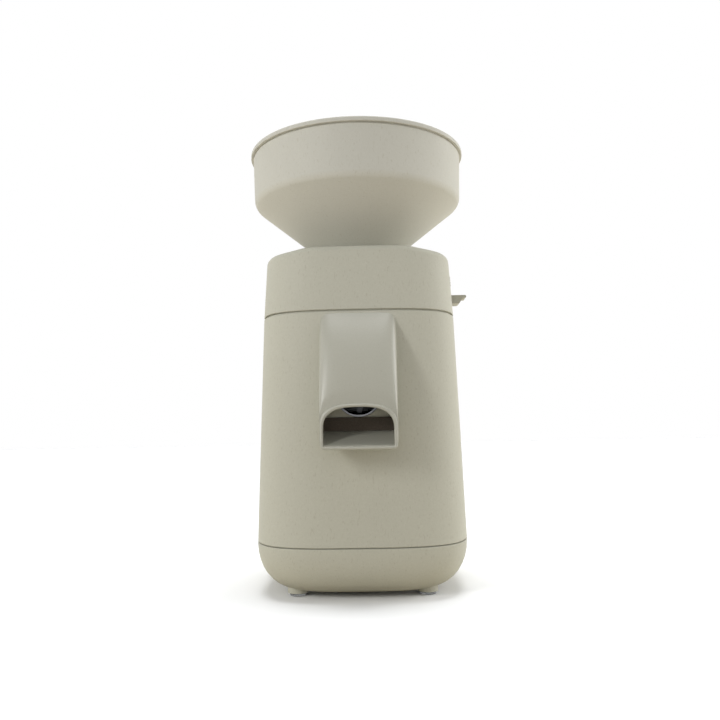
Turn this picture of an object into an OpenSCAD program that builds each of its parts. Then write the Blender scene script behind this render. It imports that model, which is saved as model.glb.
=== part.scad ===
// Compact electric stone mill for grain: a moulded housing in three shells, a lift-off hopper
// with a lid, a hooded flour spout, a direct-drive motor and an adjustable pair of millstones.
// Millimetres, +Z up, front towards -Y, resting on its feet at Z = 0.

/* [Housing] */
// Width of the body at the base seam
base_w = 164.6; // [156:0.2:176]
// Width of the body at the head seam
head_w = 153.4; // [150:0.2:166]
// Width of the head at its top, before the edge is rounded
head_top_w = 147.8; // [142:0.2:153]
// Squareness of the plan, where 2 is a circle
plan_power = 3.5; // [3.2:0.1:4.5]
// Wall of the moulded shells
wall = 3; // [2.6:0.1:3.4]
// Height of the pan's underside above the table
underside_z = 3.6; // [3:0.1:5]
// Height of the base pan from its underside to the base seam
base_h = 35.4; // [34:0.1:44]
// Height of the body between its two seams
body_h = 172.7; // [171:0.1:190]
// Height of the head from its seam to its flat top
head_h = 50; // [49:0.1:58]
// How far the pan's rounded lower edge reaches in from its side
pan_round = 27; // [20:0.5:28]
// Radius of the head's upper edge
head_round = 5; // [4:0.5:7]
// Width of the head's level crown
crown_w = 78; // [72:1:90]
// Fall of the head's shoulders below the crown
shoulder_drop = 2; // [1:0.1:3]
// Open joint line between base pan and body
base_gap = 0.7; // [0.3:0.1:1]
// Open joint line between body and head
head_gap = 1.4; // [0.4:0.1:1.6]
// Depth of the tongue that locates each joint
tongue_h = 4; // [3:0.5:5]
// Small edge break along the joints
seam_round = 0.4; // [0.3:0.1:0.9]

/* [Feet and tie screws] */
// Distance of each foot and tie screw from the two middle planes
post_xy = 49; // [48:0.5:52]
// Radius of a foot stub
foot_r = 7.5; // [7:0.1:9]
// Height of the rubber pad below its stub
pad_proud = 2.2; // [1:0.1:2.4]
// Depth of the pad's recess in the stub
pad_recess = 1.4; // [1:0.1:2]
// Radius of the screw posts
post_r = 6; // [5:0.1:6.5]
// Radius of the tie screws
tie_r = 2; // [1.6:0.1:2.4]
// Depth of thread in the head bosses
tie_grip = 22; // [15:1:40]

/* [Base vent] */
// Radius of the vent panel under the fan
vent_r = 46; // [42:1:52]
// Number of radial vent slots
vent_slots = 24; // [12:2:36]
// Width of a vent slot
vent_slot_w = 3; // [2:0.2:4]
// Number of rear louvre slots
louvre_count = 5; // [3:1:7]
// Length of a louvre slot
louvre_w = 36; // [24:1:48]
// Height of a louvre slot
louvre_slot_h = 2.4; // [1.6:0.1:3]
// Spacing of the louvre slots
louvre_pitch = 7; // [5:0.5:8]

/* [Spout] */
// Width of the spout against the body
spout_w = 56.8; // [52:0.2:62]
// Width of the spout at its mouth
mouth_w = 54; // [50:0.2:58]
// How far the mouth stands out from the body
spout_reach = 27; // [22:0.2:36]
// Height of the spout's top above the outlet's centre
spout_rise = 59.6; // [48:0.1:60]
// Top of the mouth's arch below the outlet's centre
mouth_top_drop = 8.2; // [4:0.1:10]
// Outside height of the mouth
mouth_h = 31.9; // [28:0.1:38]
// Height of the arched part of the mouth
mouth_arch_h = 15.7; // [10:0.1:18]
// Rise of the floor from the mouth to the body
floor_rise = 10.3; // [6:0.1:14]
// Wall of the spout
spout_wall = 2.4; // [2.2:0.1:3.4]
// Lean of the hood's front where it meets the mouth
mouth_lean = 8; // [4:1:14]
// Radius of the mouth's lower corners
mouth_corner = 3; // [3:0.1:4]
// Sideways place of each spout screw
spout_screw_x = 16; // [12:0.5:18]

/* [Hopper and lid] */
// Radius of the lid, which is the mill's widest circle
rim_r = 89.64; // [84:0.1:96]
// How far the lid's edge stands over the hopper's wall
lid_overhang = 2; // [1:0.1:2.2]
// Radius of the crease between wall and cone
crease_r = 86.6; // [78:0.1:87.4]
// Height of the hopper's upright wall
rim_h = 38.6; // [30:0.1:50]
// Height of the crease above the head's top
crease_rise = 50.3; // [48:0.1:58]
// Angle of the hopper's cone to the level
cone_angle = 38.7; // [36:0.1:41]
// Radius of the hopper's foot in the head
foot_seat_r = 34; // [32:0.2:36]
// Depth of the hopper's seat below the head's top
seat_depth = 9.3; // [8.5:0.1:11]
// Radius of the hopper's neck
neck_r = 25.5; // [24:0.1:26]
// Length of the neck below the seat
neck_h = 19; // [16:0.5:20]
// Radius of the feed nozzle
nozzle_r = 18.5; // [17:0.1:19]
// Length of the feed nozzle with its taper
nozzle_h = 19; // [16:0.5:20]
// Wall of the hopper
hopper_wall = 3; // [2.4:0.1:3.4]
// Rounding of the outer crease
crease_round = 8; // [4:0.5:12]
// Thickness of the lid
lid_t = 3.7; // [3:0.1:5]
// Shadow gap under the lid's edge
lid_gap = 0.7; // [0.4:0.1:1.2]
// Depth of the lid's locating ring
lid_spigot_h = 4.6; // [3:0.1:6]
// Depth of the lid's shallow dish
lid_dish = 1.2; // [0.6:0.1:1.6]

/* [Milling chamber] */
// Depth of the chamber cover's top below the head seam
cover_drop = 13.3; // [12:0.1:14]
// Thickness of the chamber cover
cover_t = 5; // [4:0.1:6]
// Thickness of the chamber's flange
flange_t = 5; // [4:0.1:6]
// Inner radius of the chamber
chamber_r = 58; // [57.5:0.1:58.4]
// Wall of the chamber
chamber_wall = 3.5; // [3:0.1:3.8]
// Thickness of the chamber floor
floor_t = 4; // [3.6:0.1:5]
// Radius of the chamber's flange and cover
flange_r = 68; // [67.5:0.1:69]
// Inner radius of the outlet tube
outlet_r = 16; // [14:0.1:17]
// Wall of the outlet tube
outlet_wall = 1.1; // [1:0.1:2.4]
// How far the outlet tube stands out of the body wall
outlet_proud = 1.3; // [0.8:0.1:2]

/* [Millstones] */
// Radius of both millstones
stone_r = 47; // [44:0.2:47.6]
// Thickness of each millstone
stone_t = 18; // [16:0.2:18.4]
// Gap between the stones at the middle setting
grind_gap = 0.4; // [0.35:0.01:0.5]
// Radius of the upper stone's eye
eye_r = 17; // [16:0.1:18]
// Number of furrows cut in each stone
furrows = 12; // [8:1:18]
// Width of a furrow
furrow_w = 4; // [3:0.2:5]
// Depth of a furrow
furrow_d = 1.6; // [1:0.1:2.2]
// Thickness of the lower stone's hub plate
hub_t = 6; // [5:0.2:6.6]
// Space under the hub plate
hub_clear = 3; // [2.6:0.1:3.6]
// Number of flour paddles on the hub
paddles = 4; // [2:1:6]
// Height of a flour paddle
paddle_h = 14; // [10:0.5:16]
// Thickness of a flour paddle
paddle_t = 4; // [3:0.2:5]

/* [Fineness setting] */
// Thickness of the upper stone's carrier flange
carrier_t = 8; // [7.6:0.1:9]
// Height of the springs above the carrier
spring_h = 6; // [5:0.1:8]
// Outer radius of the carrier's threaded sleeve
sleeve_r = 27; // [26:0.1:28]
// Wall of the carrier's sleeve
sleeve_wall = 7; // [5:0.1:7.4]
// Radius of the adjusting ring's flange
ring_r = 46; // [44:0.2:48]
// Thickness of the adjusting ring's flange
ring_t = 4; // [3:0.1:5]
// Height of the adjusting ring
ring_h = 27.9; // [25.5:0.1:28.2]
// Outer radius of the adjusting ring's hub
ring_hub_r = 36; // [34:0.1:37]
// Number of guide pins on the carrier
guide_pins_n = 3; // [2:1:4]
// Radius of a guide pin
guide_r = 2.5; // [2:0.1:3]
// Swing of the lever towards the front, to the finest setting
fine_swing = 10; // [6:1:12]
// Swing of the lever towards the rear, to the coarsest setting
coarse_swing = 30; // [20:1:31]
// Width of the lever's handle
handle_w = 16; // [12:0.5:17]
// How far the handle stands out of the head
handle_reach = 13.8; // [12:0.1:20]
// Thickness of the lever's arm
lever_t = 4; // [3:0.1:5]
// Height of the handle at its root
handle_h = 6.9; // [6.2:0.1:8]

/* [Motor] */
// Outer radius of the motor can
can_r = 44; // [42:0.2:45]
// Wall of the motor can
can_wall = 3; // [2:0.1:3.2]
// Length of the motor can
can_h = 72; // [70:0.5:73]
// Height of the upper bearing bracket
upper_bracket_h = 18; // [17.5:0.1:19]
// Height of the lower bearing bracket
lower_bracket_h = 12; // [11:0.1:12.6]
// Radius of the motor shaft
shaft_r = 6; // [5:0.1:6.4]
// Outer radius of the ball bearings
bearing_r = 14; // [13:0.1:15]
// Width of the ball bearings
bearing_w = 8; // [7:0.1:9]
// Radius of the armature
armature_r = 35.2; // [33:0.1:35.6]
// Length of the armature stack
armature_h = 36; // [30:0.5:40]
// Number of armature slots
armature_slots = 12; // [8:1:14]
// Air gap between armature and magnets
air_gap = 1; // [0.6:0.1:1.2]
// Angle covered by each magnet
magnet_angle = 130; // [110:2:150]
// Radius of the commutator
commutator_r = 14; // [12:0.2:15]
// Length of the commutator
commutator_h = 12; // [11:0.2:13]
// Radius of the cooling fan
fan_r = 40; // [36:0.2:41]
// Height of the cooling fan
fan_h = 11; // [9:0.2:11.4]
// Number of fan blades
fan_blades = 9; // [7:1:13]
// Radius of the circle of through bolts
bolt_circle_r = 47.5; // [47.3:0.1:48.5]

/* [Switch, cord gland and board] */
// Height of the switch above the base seam
switch_rise = 61; // [56:0.5:64]
// Width of the switch bezel
bezel_w = 21; // [19:0.2:24]
// Height of the switch bezel
bezel_h = 31; // [29:0.2:34]
// Thickness of the switch bezel
bezel_t = 2; // [1.6:0.1:2.6]
// Depth of the switch behind the wall
switch_depth = 20; // [18:0.5:24]
// Tilt of the rocker at rest
rocker_tilt = 8; // [5:0.5:10]
// Radius of the rocker's trunnions
trunnion_r = 1.5; // [1.2:0.1:1.8]
// Height of the cord gland above the base seam
gland_rise = 15; // [14:0.2:20]
// Radius of the cord gland's bore, where its nose grips the cord
gland_bore_r = 3.6; // [3:0.1:4]
// Radius of the cord gland's flange
gland_r = 9; // [8:0.1:10]
// Height of the board's lower edge above the base seam
board_rise = 22; // [18:0.5:30]
// Width of the board
board_w = 50; // [46:0.5:56]
// Height of the board
board_h = 50; // [46:0.5:60]
// Distance of the board from the wall
standoff_h = 7; // [5:0.1:9]

/* [Screws] */
// Radius of the small screws
small_screw_r = 1.5; // [1.2:0.1:1.8]
// Radius of the motor screws and through bolts
motor_screw_r = 2; // [1.6:0.1:2.2]
// Radius of the board screws
board_screw_r = 1.2; // [1:0.1:1.4]

/* [Clearances] */
// Clearance between separate curved faces
fit = 0.3; // [0.25:0.01:0.35]
// Radial clearance of a running pin
run_fit = 0.05; // [0.03:0.01:0.08]
// Radial clearance of a seated ring, pin or screw
seat_fit = 0.02; // [0.01:0.01:0.04]

/* [Hidden] */
$fn = 64;

plan_sides = 64;
arc_steps = 6;
eps = 0.01;
corner_stretch = pow(2, 0.5 - 1 / plan_power);

// Heights of the housing, upwards from the table
base_seam_z = underside_z + base_h;
head_seam_z = base_seam_z + body_h;
head_top_z = head_seam_z + head_h;
pan_top_z = base_seam_z - base_gap / 2;
body_bottom_z = base_seam_z + base_gap / 2;
body_top_z = head_seam_z - head_gap / 2;
head_bottom_z = head_seam_z + head_gap / 2;
tongue_in = 0.62 * wall;
rebate_in = tongue_in - fit;

// Half-width of the tapered housing at a height
function half_at(z) = z < head_seam_z
  ? base_w / 2 + (head_w - base_w) / 2 * (z - base_seam_z) / body_h
  : head_w / 2 + (head_top_w - head_w) / 2 * (z - head_seam_z) / head_h;
taper_deg = atan((base_w - head_w) / 2 / body_h);

// Heights of the milling chamber, downwards from the head seam
cover_top_z = head_seam_z - cover_drop;
cover_z = cover_top_z - cover_t;
flange_z = cover_z - flange_t;
carrier_top_z = cover_z - spring_h;
carrier_z = carrier_top_z - carrier_t;
upper_stone_z = carrier_z - stone_t;
lower_top_z = upper_stone_z - grind_gap;
hub_top_z = lower_top_z - stone_t;
hub_z = hub_top_z - hub_t;
floor_top_z = hub_z - hub_clear;
floor_z = floor_top_z - floor_t;
outlet_z = floor_top_z + outlet_r;
chamber_out_r = chamber_r + chamber_wall;

// Heights of the motor, downwards from the chamber floor
can_top_z = floor_z - upper_bracket_h;
can_z = can_top_z - can_h;
lower_bracket_z = can_z - lower_bracket_h;
bracket_plate_t = 5;
bracket_r = bolt_circle_r + 4;
bearing_lip = 2;
upper_bearing_z = floor_z - bearing_lip * 2 - bearing_w;
lower_bearing_z = lower_bracket_z + bearing_lip;
bearing_house_r = bearing_r + 4;
fan_top_z = lower_bracket_z - 2;
fan_z = fan_top_z - fan_h;
shaft_bottom_z = fan_z - 1;
magnet_r = can_r - can_wall;
magnet_in_r = armature_r + air_gap;
commutator_z = can_z + 2;
coil_reach = 8;
armature_z = commutator_z + commutator_h + coil_reach + 2;
coil_out_r = armature_r - 2;
coil_in_r = commutator_r + 4;

// Where the stone is clamped to its hub
hub_boss_r = 13.7;
hub_boss_top_z = hub_top_z + 9.8;
clamp_z = hub_top_z + 10;
clamp_r = 19.5;
stud_r = 3;
stud_depth = 12;
key_w = 4;
key_z = hub_z + 2;
key_h = 10;

// Fineness setting above the cover
ring_top_z = cover_top_z + ring_h;
lever_z = ring_top_z;
slot_clear = 0.8;
slot_z = lever_z - slot_clear;
slot_h = handle_h + 2 * slot_clear;
shield_r = 60;
shield_t = 1.6;
slot_margin = asin((handle_w / 2 + slot_clear) / shield_r);
slot_front = fine_swing + slot_margin;
slot_rear = coarse_swing + slot_margin;
carrier_r = stone_r + 3;
guide_circle_r = 40;
retainer_r = ring_r + 10;
retainer_t = 3;
retainer_screw_circle = ring_r + 5;
cover_screw_circle = chamber_out_r + 3.3;

// Hopper, upwards from its seat in the head
recess_d = 1.3;
seat_z = head_top_z - seat_depth;
recess_z = head_top_z - recess_d;
crease_z = head_top_z + crease_rise;
rim_z = crease_z + rim_h;
lid_z = rim_z + lid_gap;
mill_top_z = lid_z + lid_t;
collar_r = foot_seat_r + 4;
collar_h = 4;

// Spout, set out from the outlet's centre
mouth_top_z = outlet_z - mouth_top_drop;
mouth_z = mouth_top_z - mouth_h;
spout_top_z = outlet_z + spout_rise;
mouth_y = -half_at(mouth_top_z) - spout_reach;
hood_rise = spout_top_z - mouth_top_z;
hood_run = -half_at(spout_top_z) - mouth_y;
hood_mid = atan(hood_run / hood_rise);
hood_end = 2 * hood_mid - mouth_lean;
hood_r = hood_rise / (sin(hood_end) - sin(mouth_lean));
hood_steps = 9;
arch_steps = 30;
floor_steps = 8;
mouth_power = 2.7;
hood_power = 12;
hood_arch_h = 20;
mouth_edge = 0.7;
spout_screw_z = spout_top_z - 13;

// The mill's axis stands behind the middle of the whole footprint
axis_y = (-mouth_y - rim_r) / 2;

// Rear and side fittings
switch_z = base_seam_z + switch_rise;
gland_z = base_seam_z + gland_rise;
louvre_z = switch_z + bezel_h / 2 + 14;
board_z = base_seam_z + board_rise;
board_t = 1.6;
board_x = -(half_at(board_z + board_h) - wall - standoff_h);
board_hole_in = 5;
cutout_w = bezel_w - 3;
cutout_h = bezel_h - 4;
rocker_w = cutout_w - 4.5;
rocker_h = cutout_h - 4.5;
rocker_pivot_y = -3;
rocker_peak = 6.6;
rocker_clear = 0.6;

// Colours of the materials
composite = "#d8d4c6";
spout_cream = "#e0dccf";
rubber_grey = "#a9a8a2";
steel = "#b9bcc0";
zinc = "#9da3a8";
stone_grey = "#c9c4b8";
black_plastic = "#2a2a2b";
copper = "#b5713c";
aluminium = "#c6c9cc";

// Shared shapes

module at_axis() translate([0, axis_y, 0]) children();

module tube(outer, inner, z, h) translate([0, 0, z]) difference() {
  cylinder(r = outer, h = h);
  translate([0, 0, -1]) cylinder(r = inner, h = h + 2);
}

module rod(r, z, h) translate([0, 0, z]) cylinder(r = r, h = h);

module at_posts() for (sx = [-1, 1]) for (sy = [-1, 1])
  translate([sx * post_xy, sy * post_xy, 0]) children();

module around(n, r, start = 0) for (i = [0 : n - 1])
  rotate([0, 0, start + 360 * i / n]) translate([r, 0, 0]) children();

// A pan-head screw standing on its tip, with its head's underside at z
function head_r(r) = 1.9 * r;
function head_t(r) = 1.3 * r;
module screw(r, z, length) {
  rod(r, z - length, length + eps);
  difference() {
    rod(head_r(r), z, head_t(r));
    rod(r * 0.9, z + r * 0.5, r * 2, $fn = 6);
  }
}

// Points on an arc in a plane
function arc(c, r, from, to, steps = arc_steps) =
  [for (i = [0 : steps]) let (a = from + (to - from) * i / steps) c + r * [cos(a), sin(a)]];

// A path whose marked corners [x, y, radius] are rounded
function unit(v) = v / norm(v);
function rounded(path) = [for (i = [0 : len(path) - 1])
  let (
    n = len(path),
    p = [path[i][0], path[i][1]],
    u = unit([path[(i + n - 1) % n][0], path[(i + n - 1) % n][1]] - p),
    v = unit([path[(i + 1) % n][0], path[(i + 1) % n][1]] - p),
    half_angle = acos(min(1, max(-1, u * v))) / 2,
    r = path[i][2],
    m = unit(u + v),
    c = p + m * r / sin(half_angle),
    from = atan2((p + u * r / tan(half_angle) - c)[1], (p + u * r / tan(half_angle) - c)[0]),
    to = atan2((p + v * r / tan(half_angle) - c)[1], (p + v * r / tan(half_angle) - c)[0]),
    turn = to - from,
    sweep = turn > 180 ? turn - 360 : turn < -180 ? turn + 360 : turn
  )
  each r == 0 ? [p] : arc(c, r, from, from + sweep)];

// A closed skin through rings of points, whose last ring joins the first again
module skin(rings) {
  n = len(rings[0]);
  m = len(rings);
  polyhedron(
    points = [for (ring = rings) each ring],
    faces = [for (j = [0 : m - 1]) for (i = [0 : n - 1])
      let (
        k = (i + 1) % n,
        a = j * n,
        b = ((j + 1) % m) * n
      )
      each [[a + i, b + i, b + k], [a + i, b + k, a + k]]]
  );
}

// A wall profile of [half-width, height] points carried round the square, round-cornered plan
function bulge(v) = sign(v) * pow(abs(v), 2 / plan_power);
function plan_ring(p) = [for (i = [0 : plan_sides - 1])
  let (t = 360 * i / plan_sides) [p[0] * bulge(cos(t)), p[0] * bulge(sin(t)), p[1]]];
module plan_shell(profile) skin([for (p = profile) plan_ring(p)]);

// A point of the housing's wall, inset from its outer face
function on_wall(z, inset = 0) = [half_at(z) - inset, z];

// Front face of the housing at a sideways place and height, or a face inset from it
function front_y(x, z, inset = 0) =
  let (h = half_at(z) - inset) -h * pow(1 - pow(abs(x) / h, plan_power), 1 / plan_power);

// The rear wall's own frame, with +Y straight out of the leaning wall
module on_rear_wall(z) translate([0, half_at(z), z]) rotate([taper_deg, 0, 0]) children();

// Housing

pan_rise = base_h - 1.6;
pan_round_z = underside_z + pan_rise;
pan_edge = [half_at(pan_round_z) - pan_round, pan_round_z];
vent_hole = (vent_r - wall) / corner_stretch;
pan_rebate_z = pan_top_z - tongue_h - fit;
function pan_curve(inset, from, to) = [for (p = arc([0, 0], 1, from, to, 9))
  pan_edge + [(pan_round - inset) * p[0], (pan_rise - inset) * p[1]]];
pan_profile = concat(
  [[vent_hole, underside_z]],
  pan_curve(0, -90, 0),
  [on_wall(pan_top_z - seam_round), on_wall(pan_top_z, seam_round), on_wall(pan_top_z, rebate_in)],
  [on_wall(pan_rebate_z, rebate_in), on_wall(pan_rebate_z, wall)],
  pan_curve(wall, asin((pan_rebate_z - 1 - pan_round_z) / (pan_rise - wall)), -90),
  [[vent_hole, underside_z + wall]]
);

vent_step = 0.8;
vent_t = 3.2;
vent_hub_r = 14;
foot_top_z = underside_z + 6;

module base_pan() color(composite) at_axis() difference() {
  union() {
    plan_shell(pan_profile);
    rod(vent_r, underside_z + vent_step, vent_t);
    at_posts() {
      rod(foot_r, pad_proud, foot_top_z - pad_proud);
      rod(post_r, foot_top_z - 1, base_seam_z - foot_top_z + 1);
    }
  }
  around(vent_slots, vent_hub_r)
    translate([0, -vent_slot_w / 2, underside_z]) cube([vent_hole - vent_hub_r - 1.5, vent_slot_w, 8]);
  at_posts() {
    rod(foot_r - 1, 0, pad_proud + pad_recess);
    rod(head_r(tie_r) + fit, 0, pad_proud + pad_recess + head_t(tie_r) + fit);
    rod(tie_r + fit, 0, base_seam_z + 1);
  }
}

module foot_pads() color(rubber_grey) at_axis() at_posts()
  rotate_extrude() polygon(rounded([
    [0, 0, 0], [foot_r - 1 - fit, 0, 0.8],
    [foot_r - 1 - fit, pad_proud + pad_recess, 0], [0, pad_proud + pad_recess, 0]
  ]));

body_rebate_z = body_top_z - tongue_h - fit;
body_profile = [
  on_wall(body_bottom_z, seam_round), on_wall(body_bottom_z + seam_round),
  on_wall(body_top_z - seam_round), on_wall(body_top_z, seam_round),
  on_wall(body_top_z, rebate_in), on_wall(body_rebate_z, rebate_in), on_wall(body_rebate_z, wall),
  on_wall(body_bottom_z - tongue_h, wall), on_wall(body_bottom_z - tongue_h, tongue_in),
  on_wall(body_bottom_z, tongue_in)
];

web_t = 3;

module body_shell() color(composite) at_axis() difference() {
  union() {
    plan_shell(body_profile);
    at_posts() rod(post_r, base_seam_z, flange_z - base_seam_z);
    for (sx = [-1, 1]) for (sy = [-1, 1]) for (side = [0, 1])
      post_web(sx, sy, side);
    board_standoffs();
    rear_sleeve();
  }
  at_posts() rod(tie_r + fit, base_seam_z - 1, body_h);
  translate([0, 0, outlet_z]) rotate([90, 0, 0])
    cylinder(r = outlet_r + outlet_wall + fit, h = base_w);
  for (sx = [-1, 1]) translate([sx * spout_screw_x, 0, spout_screw_z]) rotate([90, 0, 0])
    cylinder(r = small_screw_r + fit, h = base_w);
  on_rear_wall(switch_z) cube([cutout_w, 4 * wall, cutout_h], center = true);
  translate([0, 0, gland_z]) rotate([-90, 0, 0]) cylinder(r = gland_neck_r + fit, h = base_w);
  on_rear_wall(louvre_z) for (i = [0 : louvre_count - 1])
    translate([0, 0, i * louvre_pitch]) rotate([-30, 0, 0])
      cube([louvre_w, 6 * wall, louvre_slot_h], center = true);
  board_screw_holes();
}

// A web that ties a screw post to the nearest wall
web_low_z = body_bottom_z + 2;
function web_reach(z) = -front_y(post_xy, z) - wall * 0.7 - post_xy;
module post_web(sx, sy, side) translate([sx * post_xy, sy * post_xy, 0])
  rotate([90, 0, side == 0 ? (sx > 0 ? 0 : 180) : (sy > 0 ? 90 : -90)])
    linear_extrude(height = web_t, center = true) polygon([
      [post_r - 1, web_low_z], [web_reach(web_low_z), web_low_z],
      [web_reach(flange_z), flange_z], [post_r - 1, flange_z]
    ]);

board_holes = [for (y = [-1, 1]) for (z = [board_hole_in, board_h - board_hole_in])
  [board_x, y * (board_w / 2 - board_hole_in), board_z + z]];
module at_board_holes() for (p = board_holes) translate(p) rotate([0, 90, 0]) children();

// Standoffs that reach from the leaning wall to the upright board
standoff_r = 3.2;
module board_standoffs() for (p = board_holes) {
  reach = -front_y(p[1], p[2]) - wall / 2 + board_x;
  translate(p) rotate([0, -90, 0]) cylinder(r = standoff_r, h = reach);
}

module board_screw_holes() at_board_holes() translate([0, 0, -standoff_h + 1])
  cylinder(r = board_screw_r + seat_fit, h = standoff_h);

// A short boss that carries the cord gland through the leaning wall
gland_neck_r = 6;
gland_boss_r = gland_r + 1;
gland_face_y = half_at(gland_z - gland_boss_r) + 0.05;
module rear_sleeve() translate([0, gland_face_y - wall - 2, gland_z]) rotate([-90, 0, 0])
  cylinder(r = gland_boss_r, h = wall + 2);

head_edge = [half_at(head_top_z - head_round) - head_round, head_top_z - head_round];
neck_hole = foot_seat_r - 4;
head_profile = concat(
  [on_wall(head_bottom_z, seam_round), on_wall(head_bottom_z + seam_round)],
  arc(head_edge, head_round, 0, 90),
  [for (f = [0.7, 0.4]) [neck_hole + (head_edge[0] - neck_hole) * f, head_top_z]],
  [[neck_hole, head_top_z], [neck_hole, head_top_z - wall]],
  arc(head_edge, max(0.5, head_round - wall), 90, 0, 3),
  [on_wall(head_bottom_z - tongue_h, wall), on_wall(head_bottom_z - tongue_h, tongue_in)],
  [on_wall(head_bottom_z, tongue_in)]
);

// Rings of the head, whose top falls on both sides from a level crown to the shoulders
shoulder_run = 20;
function shoulder(x) = let (t = min(1, max(0, (abs(x) - crown_w / 2) / shoulder_run)))
  shoulder_drop * t * (2 - t);
function head_ring(p) = [for (q = plan_ring(p))
  p[1] < head_edge[1] - eps ? q : [q[0], q[1], q[2] - shoulder(q[0])]];

seat_ring_r = neck_hole * corner_stretch + 6;

module head_shell() color(composite) at_axis() difference() {
  union() {
    skin([for (p = head_profile) head_ring(p)]);
    rod(seat_ring_r, seat_z + 2, recess_z - seat_z - 2);
    rod(collar_r, seat_z - collar_h, collar_h + 4);
    at_posts() rod(post_r, cover_top_z, head_top_z - shoulder_drop - wall / 2 - cover_top_z);
  }
  rod(foot_seat_r + recess_d, recess_z, 10);
  rod(foot_seat_r + fit, seat_z, 30);
  rod(neck_r + fit, seat_z - 20, 40);
  at_posts() rod(tie_r + seat_fit, cover_top_z - 1, tie_grip + 4);
  rotate([0, 0, -slot_front]) rotate_extrude(angle = slot_front + slot_rear)
    translate([shield_r + shield_t + fit, slot_z]) square([head_w, slot_h]);
}

tie_seat_z = pad_proud + pad_recess + head_t(tie_r);
tie_top_z = cover_top_z + tie_grip;
module tie_screws() color(steel) at_axis() at_posts()
  translate([0, 0, 2 * tie_seat_z]) mirror([0, 0, 1])
    translate([0, 0, tie_seat_z]) screw(tie_r, 0, tie_top_z - tie_seat_z);

// Spout

// Stations run from the mouth, g = 0, to the body, g = 1
function hood_angle(s) = mouth_lean + (hood_end - mouth_lean) * s;
function station_g(s) = (cos(mouth_lean) - cos(hood_angle(s))) / (cos(mouth_lean) - cos(hood_end));
function station_top(s) = mouth_top_z + hood_r * (sin(hood_angle(s)) - sin(mouth_lean));
function mix(a, b, g) = a + (b - a) * g;
function swell(v, p) = sign(v) * pow(abs(v), 2 / p);

// Outline of the spout at a station, inset from its outer face, as [x, z] points
function spout_outline(s, inset) =
  let (
    g = station_g(s),
    w = mix(mouth_w, spout_w, g) / 2 - inset,
    low = mouth_z + floor_rise * g + inset,
    top = station_top(s) - inset,
    arch = min(mix(mouth_arch_h, hood_arch_h, s), top - low - mouth_corner - 1),
    power = mix(mouth_power, hood_power, s),
    corner = max(0.8, mouth_corner - inset)
  )
  concat(
    arc([w - corner, low + corner], corner, -90, 0, 3),
    [for (i = [0 : arch_steps]) let (t = 180 * i / arch_steps)
      [w * swell(cos(t), power), top - arch + arch * swell(sin(t), power)]],
    arc([corner - w, low + corner], corner, 180, 270, 3),
    [for (i = [1 : floor_steps - 1]) [mix(corner - w, w - corner, i / floor_steps), low]]
  );

// The outline's points set out between the mouth plane and the housing's curved front
function spout_ring(s, inset, forward = 0) = [for (p = spout_outline(s, inset))
  [p[0], mix(mouth_y, front_y(p[0], p[1]) - seat_fit, station_g(s)) + forward, p[1]]];

spout_stations = [for (i = [0 : hood_steps]) i / hood_steps];
spout_rings = concat(
  [for (i = [hood_steps : -1 : 1]) spout_ring(spout_stations[i], 0)],
  [spout_ring(0, 0, mouth_edge), spout_ring(0, mouth_edge)],
  [spout_ring(0, spout_wall - mouth_edge), spout_ring(0, spout_wall, mouth_edge)],
  [for (i = [1 : hood_steps]) spout_ring(spout_stations[i], spout_wall)]
);

spout_boss_r = 4;
// Outer face of the hood's front on the middle plane at a height
function hood_y(z) = let (a = asin((z - mouth_top_z) / hood_r + sin(mouth_lean)))
  mouth_y + hood_r * (cos(mouth_lean) - cos(a));
spout_boss_tip_y = hood_y(spout_screw_z + spout_boss_r) + spout_wall / 2;
spout_bore_end = -spout_boss_tip_y - 1;
spout_screw_out = head_r(small_screw_r);
spout_screw_seat = -front_y(spout_screw_x + spout_screw_out, spout_screw_z + spout_screw_out, wall) - 0.1;

module spout() color(spout_cream) at_axis() difference() {
  union() {
    skin(spout_rings);
    for (sx = [-1, 1]) translate([sx * spout_screw_x, 0, spout_screw_z]) rotate([90, 0, 0])
      translate([0, 0, half_at(spout_screw_z) + fit])
        cylinder(r = spout_boss_r, h = -spout_boss_tip_y - half_at(spout_screw_z));
  }
  for (sx = [-1, 1]) translate([sx * spout_screw_x, 0, spout_screw_z]) rotate([90, 0, 0])
    cylinder(r = small_screw_r + seat_fit, h = spout_bore_end);
}

module spout_screws() color(steel) at_axis() for (sx = [-1, 1])
  translate([sx * spout_screw_x, -spout_screw_seat, spout_screw_z]) rotate([-90, 0, 0])
    screw(small_screw_r, 0, spout_bore_end - spout_screw_seat - 0.5);

// Hopper and lid

wall_top_r = rim_r - lid_overhang;
rim_slope = (wall_top_r - crease_r) / rim_h;
function cone_z(r) = crease_z + (r - crease_r) * tan(cone_angle);
cone_lift = hopper_wall / cos(cone_angle);
inner_crease_z = crease_z + (cone_lift - hopper_wall * tan(cone_angle)) / (1 - rim_slope * tan(cone_angle));
inner_crease_r = crease_r - hopper_wall + rim_slope * (inner_crease_z - crease_z);
neck_z = seat_z - neck_h;
nozzle_z = neck_z - nozzle_h;
taper_h = neck_r - nozzle_r;
neck_in_r = neck_r - hopper_wall;
nozzle_in_r = nozzle_r - hopper_wall + 0.3;
cone_in_z = cone_z(neck_in_r) + cone_lift;
rim_edge = 0.8;

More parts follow.
